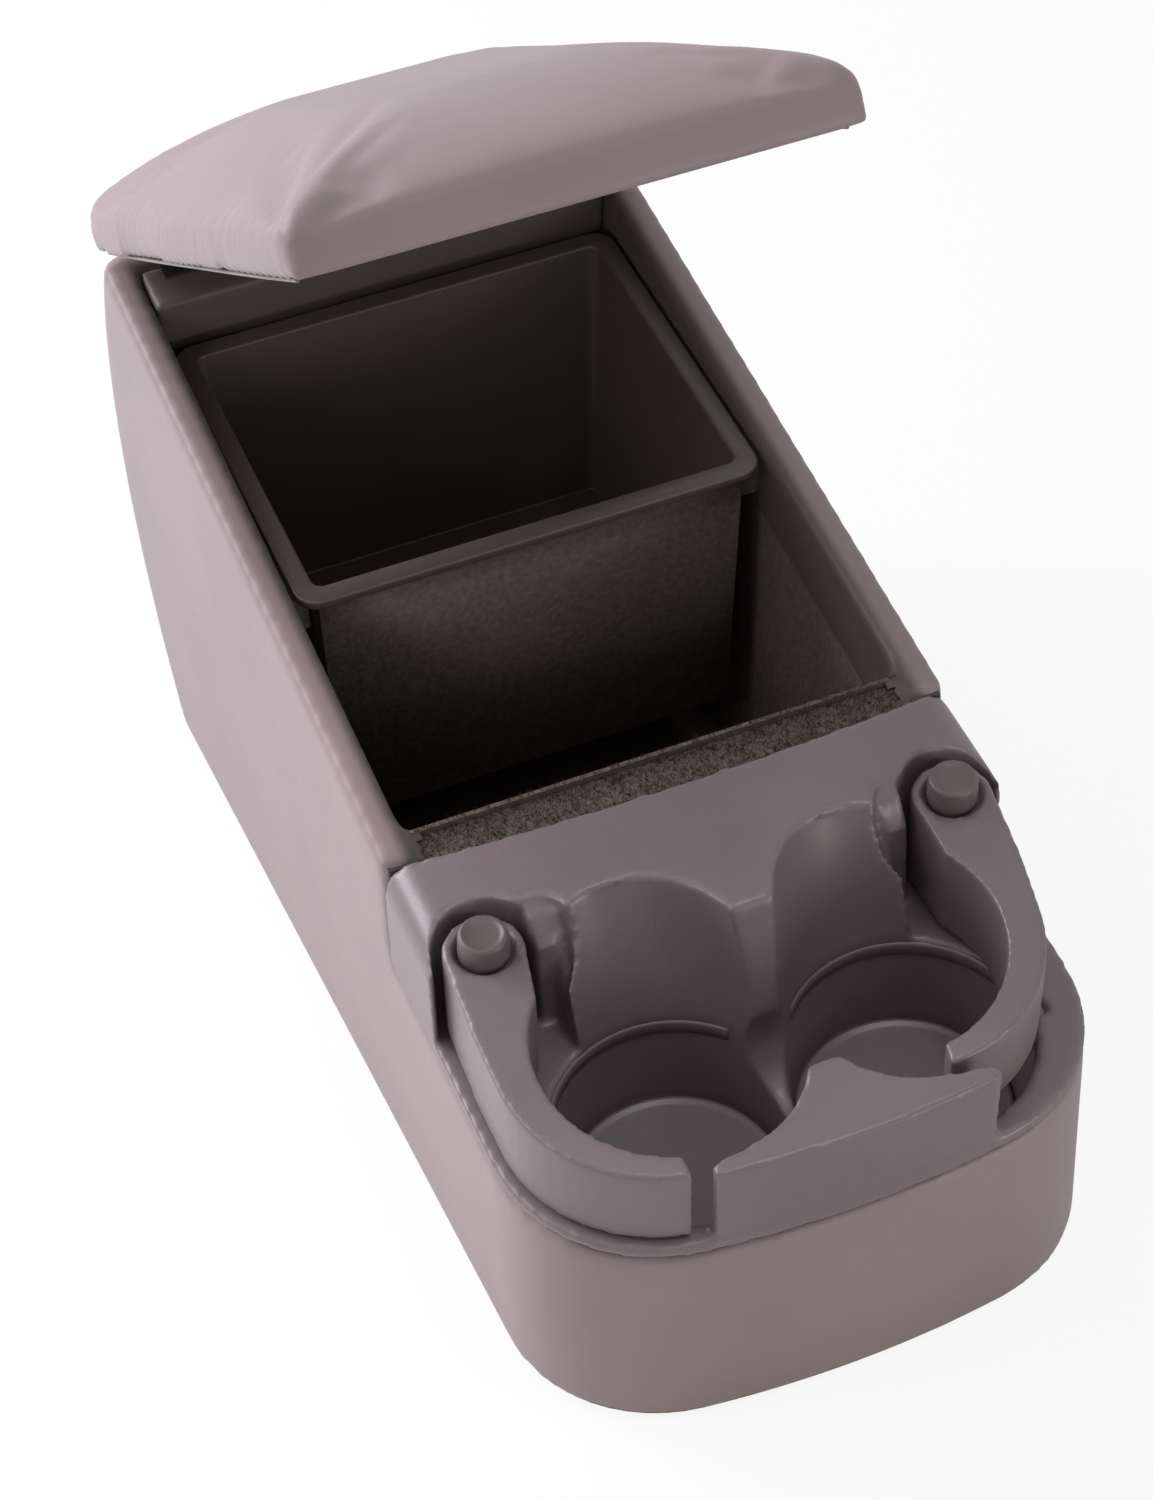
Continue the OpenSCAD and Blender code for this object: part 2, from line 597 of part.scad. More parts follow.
// The right arm seen from above, standing against the side
module arm_plan() {
    translate([pivot_x, 0]) circle(arm_r);
    difference() {
        intersection() {
            front_outline(arm_inset, 0);
            polygon([[pivot_x + arm_r, 0], [half_w - arm_inset + 1, -45], [half_w, -FAR],
                [arm_tip_x, -FAR], [arm_tip_x, -cup_y], [pivot_x - 8, -28], [pivot_x - arm_r, 0]]);
        }
        translate([cup_x + 0.5, -cup_y + 6]) circle(arm_grip_r, $fn = 120);
    }
}
module arm(side, swing) color("#6f6468") on_side(side) deck_frame()
    translate([pivot_x, 0, 0]) rotate([0, 0, -swing]) translate([-pivot_x, 0, 0]) difference() {
        intersection() {
            translate([0, 0, arm_low]) linear_extrude(FAR) arm_plan();
            across(FAR) polygon([[-FAR, 0], [FAR, 0], [FAR, arm_root_h], [0, arm_root_h],
                [-pivot_setback, arm_tip_h], [-FAR, arm_tip_h]]);
        }
        translate([pivot_x, 0, 0]) cylinder(h = FAR, r = post_r + post_gap);
    }
module arm_left() arm(-1, left_swing);
module arm_right() arm(1, right_swing);

module pivot_cap(side) color("#5c5356") on_side(side) deck_frame() translate([pivot_x, 0, post_top])
    difference() {
        union() {
            cylinder(h = cap_h, r1 = cap_r, r2 = cap_top_r);
            translate([0, 0, -stem_l]) cylinder(h = stem_l + EPS, r = stem_r);
        }
        translate([0, 0, -stem_l - EPS]) cylinder(h = stem_l / 2, r = screw_r + 0.1);
    }
module pivot_cap_left() pivot_cap(-1);
module pivot_cap_right() pivot_cap(1);
module pivot_washer(side) color("silver") on_side(side) deck_frame() translate([pivot_x, 0, deck_t])
    difference() {
        cylinder(h = washer_t, r = arm_r - 2);
        translate([0, 0, -1]) cylinder(h = washer_t + 2, r = post_r + 0.15);
    }
module pivot_washer_left() pivot_washer(-1);
module pivot_washer_right() pivot_washer(1);
module pivot_screw(side) color("dimgray") on_side(side) deck_frame()
    translate([pivot_x, 0, pin_head_z]) {
        translate([0, 0, -head_h]) cylinder(h = head_h, r = head_r);
        translate([0, 0, -EPS]) cylinder(h = post_top - stem_l / 2 - pin_head_z - 1.5, r = screw_r);
    }
module pivot_screw_left() pivot_screw(-1);
module pivot_screw_right() pivot_screw(1);

base_board();
base_screws();
body_shell();
vinyl_cover();
felt_liner();
bin_cleat_left();
bin_cleat_right();
storage_bin();
hinge_rail();
rail_screws();
hinge_leaf_body();
hinge_leaf_lid();
hinge_pin();
hinge_screws_body();
hinge_screws_lid();
lid_board();
lid_lining();
lid_cushion();
cupholder_tray();
tray_screws();
arm_left();
arm_right();
pivot_cap_left();
pivot_cap_right();
pivot_washer_left();
pivot_washer_right();
pivot_screw_left();
pivot_screw_right();
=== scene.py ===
"""Looks of the bench seat console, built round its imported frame.

Every piece is in metres in the frame's own axes: X across, +Y to the hinge, Z up.
"""

import json
import logging
import math
from dataclasses import dataclass, field
from enum import Enum
from typing import Callable, Iterable, Sequence

import bmesh
import bpy
from mathutils import Matrix, Vector
from mathutils.bvhtree import BVHTree

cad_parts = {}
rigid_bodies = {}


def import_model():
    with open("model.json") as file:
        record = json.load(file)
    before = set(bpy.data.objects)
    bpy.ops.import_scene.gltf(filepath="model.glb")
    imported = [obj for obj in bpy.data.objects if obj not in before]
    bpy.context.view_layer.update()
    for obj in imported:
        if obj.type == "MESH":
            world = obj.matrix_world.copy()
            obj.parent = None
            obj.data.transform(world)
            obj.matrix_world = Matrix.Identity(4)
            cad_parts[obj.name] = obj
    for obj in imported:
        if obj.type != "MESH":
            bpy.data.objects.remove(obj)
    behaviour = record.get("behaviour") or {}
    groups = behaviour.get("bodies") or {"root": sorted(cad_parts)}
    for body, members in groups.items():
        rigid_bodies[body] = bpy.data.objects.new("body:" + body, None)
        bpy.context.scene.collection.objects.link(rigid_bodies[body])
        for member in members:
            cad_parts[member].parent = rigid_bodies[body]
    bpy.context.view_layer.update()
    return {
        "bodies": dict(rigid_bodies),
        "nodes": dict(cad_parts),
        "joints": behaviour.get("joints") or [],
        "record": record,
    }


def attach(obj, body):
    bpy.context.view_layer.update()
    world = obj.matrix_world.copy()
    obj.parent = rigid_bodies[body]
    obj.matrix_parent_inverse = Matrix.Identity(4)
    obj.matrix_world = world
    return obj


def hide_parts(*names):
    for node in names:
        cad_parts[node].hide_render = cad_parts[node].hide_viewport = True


LOG = logging.getLogger("console")
MM = 0.001
Colour = tuple[float, float, float]
Point = tuple[float, float, float]
Profile = Sequence[tuple[float, float]]
Socket = bpy.types.NodeSocket
Material = bpy.types.Material
Object = bpy.types.Object


class Body(Enum):
    """The rigid bodies of the frame."""

    CONSOLE = "console"
    LID = "lid"
    LEFT_ARM = "left_arm"
    RIGHT_ARM = "right_arm"


class Slot(Enum):
    """Names of material slots, listed with the cup holder's pieces; the pieces take their finish straight
    from their materials.
    """

    VINYL = "vinyl"
    TRAY = "tray"
    CAP = "cap"
    BIN = "bin"
    FELT = "felt"


# Finishes


class Shading:
    """A material's node tree, built link by link."""

    def __init__(self, name: str) -> None:
        """Start an empty tree with its shader and output.

        Args:
            name: The material's name.
        """
        self.material = bpy.data.materials.new(name)
        self.material.use_nodes = True
        self.tree = self.material.node_tree
        self.tree.nodes.clear()
        self.shader = self.add("ShaderNodeBsdfPrincipled")
        output = self.add("ShaderNodeOutputMaterial")
        self.link(self.shader.outputs["BSDF"], output.inputs["Surface"])
        self.place = self.add("ShaderNodeTexCoord").outputs["Object"]

    def add(self, kind: str, **settings: object) -> bpy.types.Node:
        """Add a node and set its properties.

        Args:
            kind: The node's type.
            settings: Its properties, by name.

        Returns:
            The node.
        """
        made = self.tree.nodes.new(kind)
        for key, value in settings.items():
            setattr(made, key, value)
        return made

    def link(self, a: Socket, b: Socket) -> None:
        """Join two sockets."""
        self.tree.links.new(a, b)

    def noise(
        self,
        scale: float,
        detail: float = 3.0,
        stretch: Point = (1, 1, 1),
        turn: Point = (0, 0, 0),
    ) -> Socket:
        """A noise pattern on object coordinates.

        Args:
            scale: Lumps per metre.
            detail: Octaves.
            stretch: Scale along each axis.
            turn: Turn of the pattern about each axis, in radians.

        Returns:
            The socket with the pattern's value.
        """
        mapping = self.add("ShaderNodeMapping")
        mapping.inputs["Scale"].default_value = stretch
        mapping.inputs["Rotation"].default_value = turn
        self.link(self.place, mapping.inputs["Vector"])
        made = self.add("ShaderNodeTexNoise")
        made.inputs["Scale"].default_value = scale
        made.inputs["Detail"].default_value = detail
        self.link(mapping.outputs["Vector"], made.inputs["Vector"])
        return made.outputs["Fac"]

    def cells(self, scale: float) -> Socket:
        """The distance to the edges of a cell pattern, as in leather grain.

        Args:
            scale: Cells per metre.

        Returns:
            The socket with the distance.
        """
        made = self.add("ShaderNodeTexVoronoi", feature="DISTANCE_TO_EDGE")
        made.inputs["Scale"].default_value = scale
        self.link(self.place, made.inputs["Vector"])
        return made.outputs["Distance"]

    def ramp(self, value: Socket, low: Colour, high: Colour, at: tuple[float, float]) -> Socket:
        """A colour that follows a value.

        Args:
            value: The socket with the value.
            low: The colour up to the first place.
            high: The colour from the second place on.
            at: The two places.

        Returns:
            The socket with the colour.
        """
        made = self.add("ShaderNodeValToRGB")
        made.color_ramp.elements[0].position, made.color_ramp.elements[1].position = at
        made.color_ramp.elements[0].color = (*low, 1)
        made.color_ramp.elements[1].color = (*high, 1)
        self.link(value, made.inputs["Fac"])
        return made.outputs["Color"]

    def fade(self, value: Socket, span: tuple[float, float]) -> Socket:
        """A smooth step from 0 to 1 as a value goes from one end of a span to the other.

        Args:
            value: The socket with the value.
            span: The span's two ends.

        Returns:
            The socket with the step.
        """
        made = self.add("ShaderNodeMapRange", interpolation_type="SMOOTHSTEP")
        made.inputs["From Min"].default_value, made.inputs["From Max"].default_value = span
        self.link(value, made.inputs["Value"])
        return made.outputs["Result"]

    def product(self, a: Socket, b: Socket) -> Socket:
        """Two values multiplied.

        Args:
            a: The socket with the first value.
            b: The socket with the second value.

        Returns:
            The socket with the product.
        """
        made = self.add("ShaderNodeMath", operation="MULTIPLY")
        self.link(a, made.inputs[0])
        self.link(b, made.inputs[1])
        return made.outputs["Value"]

    def span(self, value: Socket, low: float, high: float) -> Socket:
        """A value from 0 to 1 brought between low and high.

        Args:
            value: The socket with the value.
            low: What 0 becomes.
            high: What 1 becomes.

        Returns:
            The socket with the new value.
        """
        made = self.add("ShaderNodeMapRange")
        made.inputs["To Min"].default_value = low
        made.inputs["To Max"].default_value = high
        self.link(value, made.inputs["Value"])
        return made.outputs["Result"]

    def bump(self, height: Socket, depth: float, strength: float, under: Socket | None = None) -> Socket:
        """A bump over the surface.

        Args:
            height: The pattern to raise.
            depth: Its depth in metres.
            strength: How much of it shows.
            under: The bump that it lies on, where there is one.

        Returns:
            The socket with the bumped normal.
        """
        made = self.add("ShaderNodeBump")
        made.inputs["Distance"].default_value = depth
        made.inputs["Strength"].default_value = strength
        self.link(height, made.inputs["Height"])
        if under is not None:
            self.link(under, made.inputs["Normal"])
        return made.outputs["Normal"]


def shade(colour: Colour, factor: float) -> Colour:
    """A lighter or darker version of a colour."""
    return tuple(min(1.0, c * factor) for c in colour)


@dataclass(frozen=True)
class GrainedVinyl:
    """Soft upholstery vinyl with a fine pressed grain."""

    name: str
    colour: Colour
    grain: float = 1150.0
    mottle: float = 0.05
    roughness: tuple[float, float] = (0.44, 0.56)
    gathers: float = 0.0
    gather_turn: float = 25.5
    gather_span: tuple[float, float] = (0.076, 0.1)
    # Painted shade on the inner faces of the walls: its colour, and the spans across and along where it
    # fades in
    inside_painted_shade: Colour | None = None
    painted_shade_side: tuple[float, float] = (0.0985, 0.0925)
    painted_shade_ends: tuple[tuple[float, float], ...] = ((-0.1, -0.092), (0.203, 0.196))

    def material(self) -> Material:
        """Build the material.

        Returns:
            The finished material.
        """
        s = Shading(self.name)
        clouds = s.noise(14, 4)
        fine = s.noise(900, 2)
        dark, light = shade(self.colour, 1 - self.mottle), shade(self.colour, 1 + self.mottle)
        colour = s.ramp(clouds, dark, light, (0.35, 0.68))
        # Painted shade on the inner faces of the walls
        if self.inside_painted_shade:
            colour = self.with_painted_shade(s, colour)
        s.link(colour, s.shader.inputs["Base Color"])
        s.link(s.span(fine, *self.roughness), s.shader.inputs["Roughness"])
        s.shader.inputs["Sheen Weight"].default_value = 0.12
        s.shader.inputs["Sheen Roughness"].default_value = 0.5
        s.shader.inputs["Specular IOR Level"].default_value = 0.42
        low = s.bump(s.noise(60, 3), 0.6 * MM, 0.22)
        mid = s.bump(s.cells(self.grain), 0.12 * MM, 0.5, low)
        top = s.bump(fine, 0.1 * MM, 0.35, mid)
        if self.gathers > 0:
            top = s.bump(self.pulled(s), self.gathers * MM, 0.8, top)
        s.link(top, s.shader.inputs["Normal"])
        return s.material

    def with_painted_shade(self, s: Shading, outside: Socket) -> Socket:
        """The outer colour, with painted shade where the cover turns down into the compartment.

        Args:
            s: The material's node tree.
            outside: The socket with the outer colour.

        Returns:
            The socket with the mixed colour.
        """
        split = s.add("ShaderNodeSeparateXYZ")
        s.link(s.place, split.inputs["Vector"])
        side = s.add("ShaderNodeMath", operation="ABSOLUTE")
        s.link(split.outputs["X"], side.inputs[0])
        inside = s.fade(side.outputs["Value"], self.painted_shade_side)
        for end in self.painted_shade_ends:
            inside = s.product(inside, s.fade(split.outputs["Y"], end))
        mixed = s.add("ShaderNodeMix", data_type="RGBA")
        s.link(inside, mixed.inputs["Factor"])
        s.link(outside, mixed.inputs["A"])
        mixed.inputs["B"].default_value = (*self.inside_painted_shade, 1)
        return mixed.outputs["Result"]

    def pulled(self, s: Shading) -> Socket:
        """Fine gathers that run down the two ends of the open lid and fade on its top.

        Args:
            s: The material's node tree.

        Returns:
            The socket with the height of the gathers.
        """
        lines = s.noise(170, 2, (0.5, 1, 0.07), (math.radians(self.gather_turn), 0, 0))
        split = s.add("ShaderNodeSeparateXYZ")
        s.link(s.place, split.inputs["Vector"])
        side = s.add("ShaderNodeMath", operation="ABSOLUTE")
        s.link(split.outputs["X"], side.inputs[0])
        return s.product(lines, s.fade(side.outputs["Value"], self.gather_span))


@dataclass(frozen=True)
class MouldedPlastic:
    """Moulded plastic with a fine spark-eroded grain."""

    name: str
    colour: Colour
    roughness: tuple[float, float] = (0.4, 0.52)
    grain: float = 1500.0
    depth: float = 0.1
    specular: float = 0.5

    def material(self) -> Material:
        """Build the material.

        Returns:
            The finished material.
        """
        s = Shading(self.name)
        speck = s.noise(self.grain, 2)
        clouds = s.noise(22, 3)
        colour = s.ramp(clouds, shade(self.colour, 0.95), shade(self.colour, 1.05), (0.3, 0.7))
        mixed = s.add("ShaderNodeMix", data_type="RGBA", blend_type="MULTIPLY")
        mixed.inputs["Factor"].default_value = 0.35
        s.link(colour, mixed.inputs["A"])
        s.link(s.ramp(speck, (0.72, 0.7, 0.72), (1, 1, 1), (0.3, 0.62)), mixed.inputs["B"])
        s.link(mixed.outputs["Result"], s.shader.inputs["Base Color"])
        s.link(s.span(speck, *self.roughness), s.shader.inputs["Roughness"])
        s.shader.inputs["Specular IOR Level"].default_value = self.specular
        s.link(s.bump(speck, self.depth * MM, 0.5), s.shader.inputs["Normal"])
        return s.material


@dataclass(frozen=True)
class ShortFelt:
    """Felted lining with a short, uneven pile."""

    name: str
    colour: Colour
    tips: Colour

    def material(self) -> Material:
        """Build the material.

        Returns:
            The finished material.
        """
        s = Shading(self.name)
        pile = s.noise(1300, 4)
        lumps = s.noise(420, 5)
        s.link(s.ramp(lumps, self.colour, self.tips, (0.36, 0.74)), s.shader.inputs["Base Color"])
        s.shader.inputs["Roughness"].default_value = 1.0
        s.shader.inputs["Specular IOR Level"].default_value = 0.1
        s.shader.inputs["Sheen Weight"].default_value = 0.12
        s.shader.inputs["Sheen Tint"].default_value = (0.42, 0.33, 0.28, 1)
        low = s.bump(lumps, 0.8 * MM, 0.7)
        s.link(s.bump(pile, 0.5 * MM, 0.8, low), s.shader.inputs["Normal"])
        return s.material


@dataclass(frozen=True)
class BrushedSteel:
    """Bright rolled steel with fine scratches along X."""

    name: str
    colour: Colour
    roughness: tuple[float, float] = (0.28, 0.45)

    def material(self) -> Material:
        """Build the material.

        Returns:
            The finished material.
        """
        s = Shading(self.name)
        lines = s.noise(900, 3, (0.05, 1, 1))
        colour = s.ramp(lines, shade(self.colour, 0.85), self.colour, (0.3, 0.7))
        s.link(colour, s.shader.inputs["Base Color"])
        s.shader.inputs["Metallic"].default_value = 1.0
        s.link(s.span(lines, *self.roughness), s.shader.inputs["Roughness"])
        s.link(s.bump(lines, 0.02 * MM, 0.3), s.shader.inputs["Normal"])
        return s.material


@dataclass(frozen=True)
class PlainBoard:
    """Particle board with a fine speckle."""

    name: str
    colour: Colour

    def material(self) -> Material:
        """Build the material.

        Returns:
            The finished material.
        """
        s = Shading(self.name)
        chips = s.noise(420, 5, (1, 0.35, 1))
        colour = s.ramp(chips, shade(self.colour, 0.6), shade(self.colour, 1.15), (0.32, 0.66))
        s.link(colour, s.shader.inputs["Base Color"])
        s.shader.inputs["Roughness"].default_value = 0.78
        s.link(s.bump(chips, 0.25 * MM, 0.4), s.shader.inputs["Normal"])
        return s.material


# The body's vinyl, with painted shade on the inner faces of its walls
VINYL = GrainedVinyl("mauve_grey_vinyl", (0.272, 0.204, 0.205), inside_painted_shade=(0.085, 0.065, 0.059))
# The body's vinyl again, painted lighter on the lid to stand in for the light on its top
LID_VINYL_PAINTED_LIGHTER = GrainedVinyl("mauve_grey_lid_vinyl_painted_lighter", (0.29, 0.219, 0.222), gathers=0.5)
HEM_VINYL = GrainedVinyl("hem_vinyl", (0.27, 0.21, 0.205), roughness=(0.4, 0.5))
TRAY_PLASTIC = MouldedPlastic("mauve_grey_plastic", (0.195, 0.152, 0.16), (0.3, 0.42))
CAP_PLASTIC = MouldedPlastic("cap_plastic", (0.12, 0.09, 0.092))
BIN_PLASTIC = MouldedPlastic("dark_brown_plastic", (0.083, 0.066, 0.058), (0.42, 0.55), 900.0)
SHELL_PLASTIC = MouldedPlastic("shell_plastic", (0.05, 0.043, 0.04), (0.6, 0.7), 700.0)
RAIL_VINYL = GrainedVinyl("dark_mauve_vinyl", (0.125, 0.098, 0.088), roughness=(0.5, 0.6))
# One felt in two copies: the compartment's painted lighter to stand in for light that doesn't reach inside,
# and the ledge's painted darker
FELT = ShortFelt("compartment_felt_painted_lighter", (0.135, 0.11, 0.094), (0.2, 0.164, 0.14))
LEDGE_FELT_PAINTED_DARKER = ShortFelt("ledge_felt_painted_darker", (0.032, 0.023, 0.02), (0.062, 0.046, 0.04))
DARK_STEEL = BrushedSteel("blackened_steel", (0.1, 0.09, 0.085), (0.4, 0.55))
STEEL = BrushedSteel("bright_steel", (0.56, 0.56, 0.56))
BOARD = PlainBoard("particle_board", (0.42, 0.3, 0.18))


# Mesh helpers


def node_copy(name: str, nodes: Sequence[str], frame: dict) -> Object:
    """Join copies of CAD nodes into one new object with its doubles merged.

    Args:
        name: The new object's name.
        nodes: The CAD nodes to copy.

    Returns:
        The new object, linked to the scene.
    """
    bm = bmesh.new()
    for node in nodes:
        bm.from_mesh(frame["nodes"][node].data)
    bmesh.ops.remove_doubles(bm, verts=bm.verts, dist=0.02 * MM)
    mesh = bpy.data.meshes.new(name)
    bm.to_mesh(mesh)
    bm.free()
    made = bpy.data.objects.new(name, mesh)
    bpy.context.scene.collection.objects.link(made)
    return made


def applied(obj: Object) -> Object:
    """Turn an object's modifiers into its mesh.

    Args:
        obj: The object to change.

    Returns:
        The same object.
    """
    bpy.context.view_layer.update()
    graph = bpy.context.evaluated_depsgraph_get()
    mesh = bpy.data.meshes.new_from_object(obj.evaluated_get(graph))
    obj.modifiers.clear()
    old = obj.data
    obj.data = mesh
    bpy.data.meshes.remove(old)
    return obj


def softened(obj: Object, voxel: float, passes: int, factor: float = 0.5) -> Object:
    """Remesh an object evenly and round its edges off.

    Args:
        obj: The object to change.
        voxel: Size of the even faces, in metres.
        passes: How often the mesh is smoothed.
        factor: Strength of each pass.

    Returns:
        The same object.
    """
    remesh = obj.modifiers.new("even", "REMESH")
    remesh.mode = "VOXEL"
    remesh.voxel_size = voxel
    remesh.use_smooth_shade = True
    smooth = obj.modifiers.new("round", "SMOOTH")
    smooth.factor = factor
    smooth.iterations = passes
    return applied(obj)


def dress(obj: Object, material: Material) -> None:
    """Give an object one material in place of what it has."""
    obj.data.materials.clear()
    obj.data.materials.append(material)


def dress_node(obj: Object, material: Material) -> None:
    """Give a CAD node a better material in its own slot.

    Args:
        obj: The node's object.
        material: Its finish.
    """
    if not obj.material_slots:
        obj.data.materials.append(material)
    for slot in obj.material_slots:
        slot.material = material


def tilted(y: float, z: float, degrees: float) -> Matrix:
    """A frame with its origin at a place in millimetres, turned about X."""
    return Matrix.Translation((0, y * MM, z * MM)) @ Matrix.Rotation(math.radians(degrees), 4, "X")


# The tray's own frame: X across, Y up its slope from the arm pivots, Z square to it
DECK = tilted(-128.589, 102.4, 9.3)

# The open lid's own frame, with its origin on the hinge pin
LID = tilted(207.5, 238.9, -25.494)


def linked(name: str, bm: bmesh.types.BMesh) -> Object:
    """Turn a bmesh into a smooth object in the scene, with its faces outwards.

    Args:
        name: The new object's name.
        bm: The bmesh, which is used up.

    Returns:
        The new object.
    """
    bmesh.ops.recalc_face_normals(bm, faces=bm.faces)
    mesh = bpy.data.meshes.new(name)
    bm.to_mesh(mesh)
    bm.free()
    mesh.polygons.foreach_set("use_smooth", [True] * len(mesh.polygons))
    made = bpy.data.objects.new(name, mesh)
    bpy.context.scene.collection.objects.link(made)
    return made


def turned(name: str, profile: Profile, x: float, y: float, steps: int = 96) -> Object:
    """Turn a closed profile about an axis square to the tray.

    Args:
        name: The new object's name.
        profile: Radius and height of each point in millimetres, from one end on the axis to the other.
        x: Place of the axis across the tray, in millimetres.
        y: Place of the axis up the tray's slope, in millimetres.
        steps: Facets round the axis.

    Returns:
        A closed, smooth object.
    """
    bm = bmesh.new()
    rings = []
    for radius, height in profile:
        count = 1 if radius == 0 else steps
        angles = [2 * math.pi * i / count for i in range(count)]
        ring = [Vector((x + radius * math.cos(a), y + radius * math.sin(a), height)) for a in angles]
        rings.append([bm.verts.new(DECK @ (MM * point)) for point in ring])
    for low, high in zip(rings, rings[1:]):
        for i in range(steps):
            j = (i + 1) % steps
            corners = [low[i % len(low)], low[j % len(low)], high[j % len(high)], high[i % len(high)]]
            bm.faces.new(list(dict.fromkeys(corners)))
    return linked(name, bm)


def cut(obj: Object, cutters: Sequence[Object]) -> Object:
    """Take cutters away from an object and delete them.

    Args:
        obj: The object to cut.
        cutters: Closed objects, used up by the cut.

    Returns:
        The same object.
    """
    for cutter in cutters:
        boolean = obj.modifiers.new("cut", "BOOLEAN")
        boolean.object = cutter
        boolean.operation = "DIFFERENCE"
        boolean.solver = "EXACT"
    applied(obj)
    for cutter in cutters:
        bpy.data.objects.remove(cutter)
    return obj


def edged(obj: Object, width: float) -> Object:
    """Round the sharp edges of a moulding with a narrow bevel.

    Args:
        obj: The moulding.
        width: The bevel's width in metres.

    Returns:
        The same object.
    """
    bm = bmesh.new()
    bm.from_mesh(obj.data)
    bmesh.ops.dissolve_limit(bm, angle_limit=math.radians(1.5), verts=bm.verts, edges=bm.edges)
    bm.to_mesh(obj.data)
    bm.free()
    obj.data.polygons.foreach_set("use_smooth", [True] * len(obj.data.polygons))
    bevel = obj.modifiers.new("edge", "BEVEL")
    bevel.width = width
    bevel.segments = 3
    bevel.limit_method = "ANGLE"
    bevel.angle_limit = math.radians(35)
    bevel.harden_normals = True
    return applied(obj)


class Tree:
    """A geometry node tree with named inputs, run once on one object."""

    def __init__(self, name: str) -> None:
        """Start a tree with its geometry sockets.

        Args:
            name: The tree's name.
        """
        self.group = bpy.data.node_groups.new(name, "GeometryNodeTree")
        self.group.interface.new_socket(name="Geometry", in_out="INPUT", socket_type="NodeSocketGeometry")
        self.group.interface.new_socket(name="Geometry", in_out="OUTPUT", socket_type="NodeSocketGeometry")
        self.start = self.add("NodeGroupInput")
        self.end = self.add("NodeGroupOutput")
        self.values: dict[str, float] = {}

    def add(self, kind: str, **settings: object) -> bpy.types.Node:
        """Add a node and set its properties.

        Args:
            kind: The node's type.
            settings: Its properties, by name.

        Returns:
            The node.
        """
        made = self.group.nodes.new(kind)
        for key, value in settings.items():
            setattr(made, key, value)
        return made

    def link(self, a: Socket, b: Socket) -> None:
        """Join two sockets."""
        self.group.links.new(a, b)

    def size(self, name: str, value: float) -> Socket:
        """Add a named input with its value and return its socket inside the tree.

        Args:
            name: The input's name.
            value: Its value.

        Returns:
            The input's socket inside the tree.
        """
        socket = self.group.interface.new_socket(name=name, in_out="INPUT", socket_type="NodeSocketFloat")
        self.values[socket.identifier] = value
        return self.start.outputs[name]

    def run(self, obj: Object, shape: Socket, material: Material) -> Object:
        """Realise the tree on an object and keep the result as a plain mesh.

        Args:
            obj: The object that the tree starts from.
            shape: The socket with the made geometry.
            material: The finish that the tree sets.

        Returns:
            A mesh object in the place of the first one.
        """
        real = self.add("GeometryNodeRealizeInstances")
        finish = self.add("GeometryNodeSetMaterial")
        finish.inputs["Material"].default_value = material
        self.link(shape, real.inputs["Geometry"])
        self.link(real.outputs["Geometry"], finish.inputs["Geometry"])
        self.link(finish.outputs["Geometry"], self.end.inputs["Geometry"])
        modifier = obj.modifiers.new("made", "NODES")
        modifier.node_group = self.group
        for identifier, value in self.values.items():
            modifier[identifier] = value
        bpy.context.view_layer.update()
        mesh = bpy.data.meshes.new_from_object(obj.evaluated_get(bpy.context.evaluated_depsgraph_get()))
        name = obj.name
        bpy.data.objects.remove(obj)
        made = bpy.data.objects.new(name, mesh)
        bpy.context.scene.collection.objects.link(made)
        dress(made, material)
        return made


def piping(name: str, path: Sequence[Vector], radius: float, material: Material) -> Object:
    """A round welt that follows a path.

    Args:
        name: The piece's name.
        path: Points in metres.
        radius: The welt's radius in metres.
        material: Its finish.

    Returns:
        A closed mesh.
    """
    curve = bpy.data.curves.new(name, "CURVE")
    curve.dimensions = "3D"
    spline = curve.splines.new("POLY")
    spline.points.add(len(path) - 1)
    for point, place in zip(spline.points, path):
        point.co = (*place, 1)
    obj = bpy.data.objects.new(name, curve)
    bpy.context.scene.collection.objects.link(obj)
    tree = Tree("welt_along_path")
    round_edge = tree.add("GeometryNodeCurvePrimitiveCircle")
    round_edge.inputs["Resolution"].default_value = 10
    tree.link(tree.size("Radius", radius), round_edge.inputs["Radius"])
    sweep = tree.add("GeometryNodeCurveToMesh")
    sweep.inputs["Fill Caps"].default_value = True
    tree.link(tree.start.outputs["Geometry"], sweep.inputs["Curve"])
    tree.link(round_edge.outputs["Curve"], sweep.inputs["Profile Curve"])
    made = tree.run(obj, sweep.outputs["Mesh"], material)
    made.data.polygons.foreach_set("use_smooth", [True] * len(made.data.polygons))
    return made


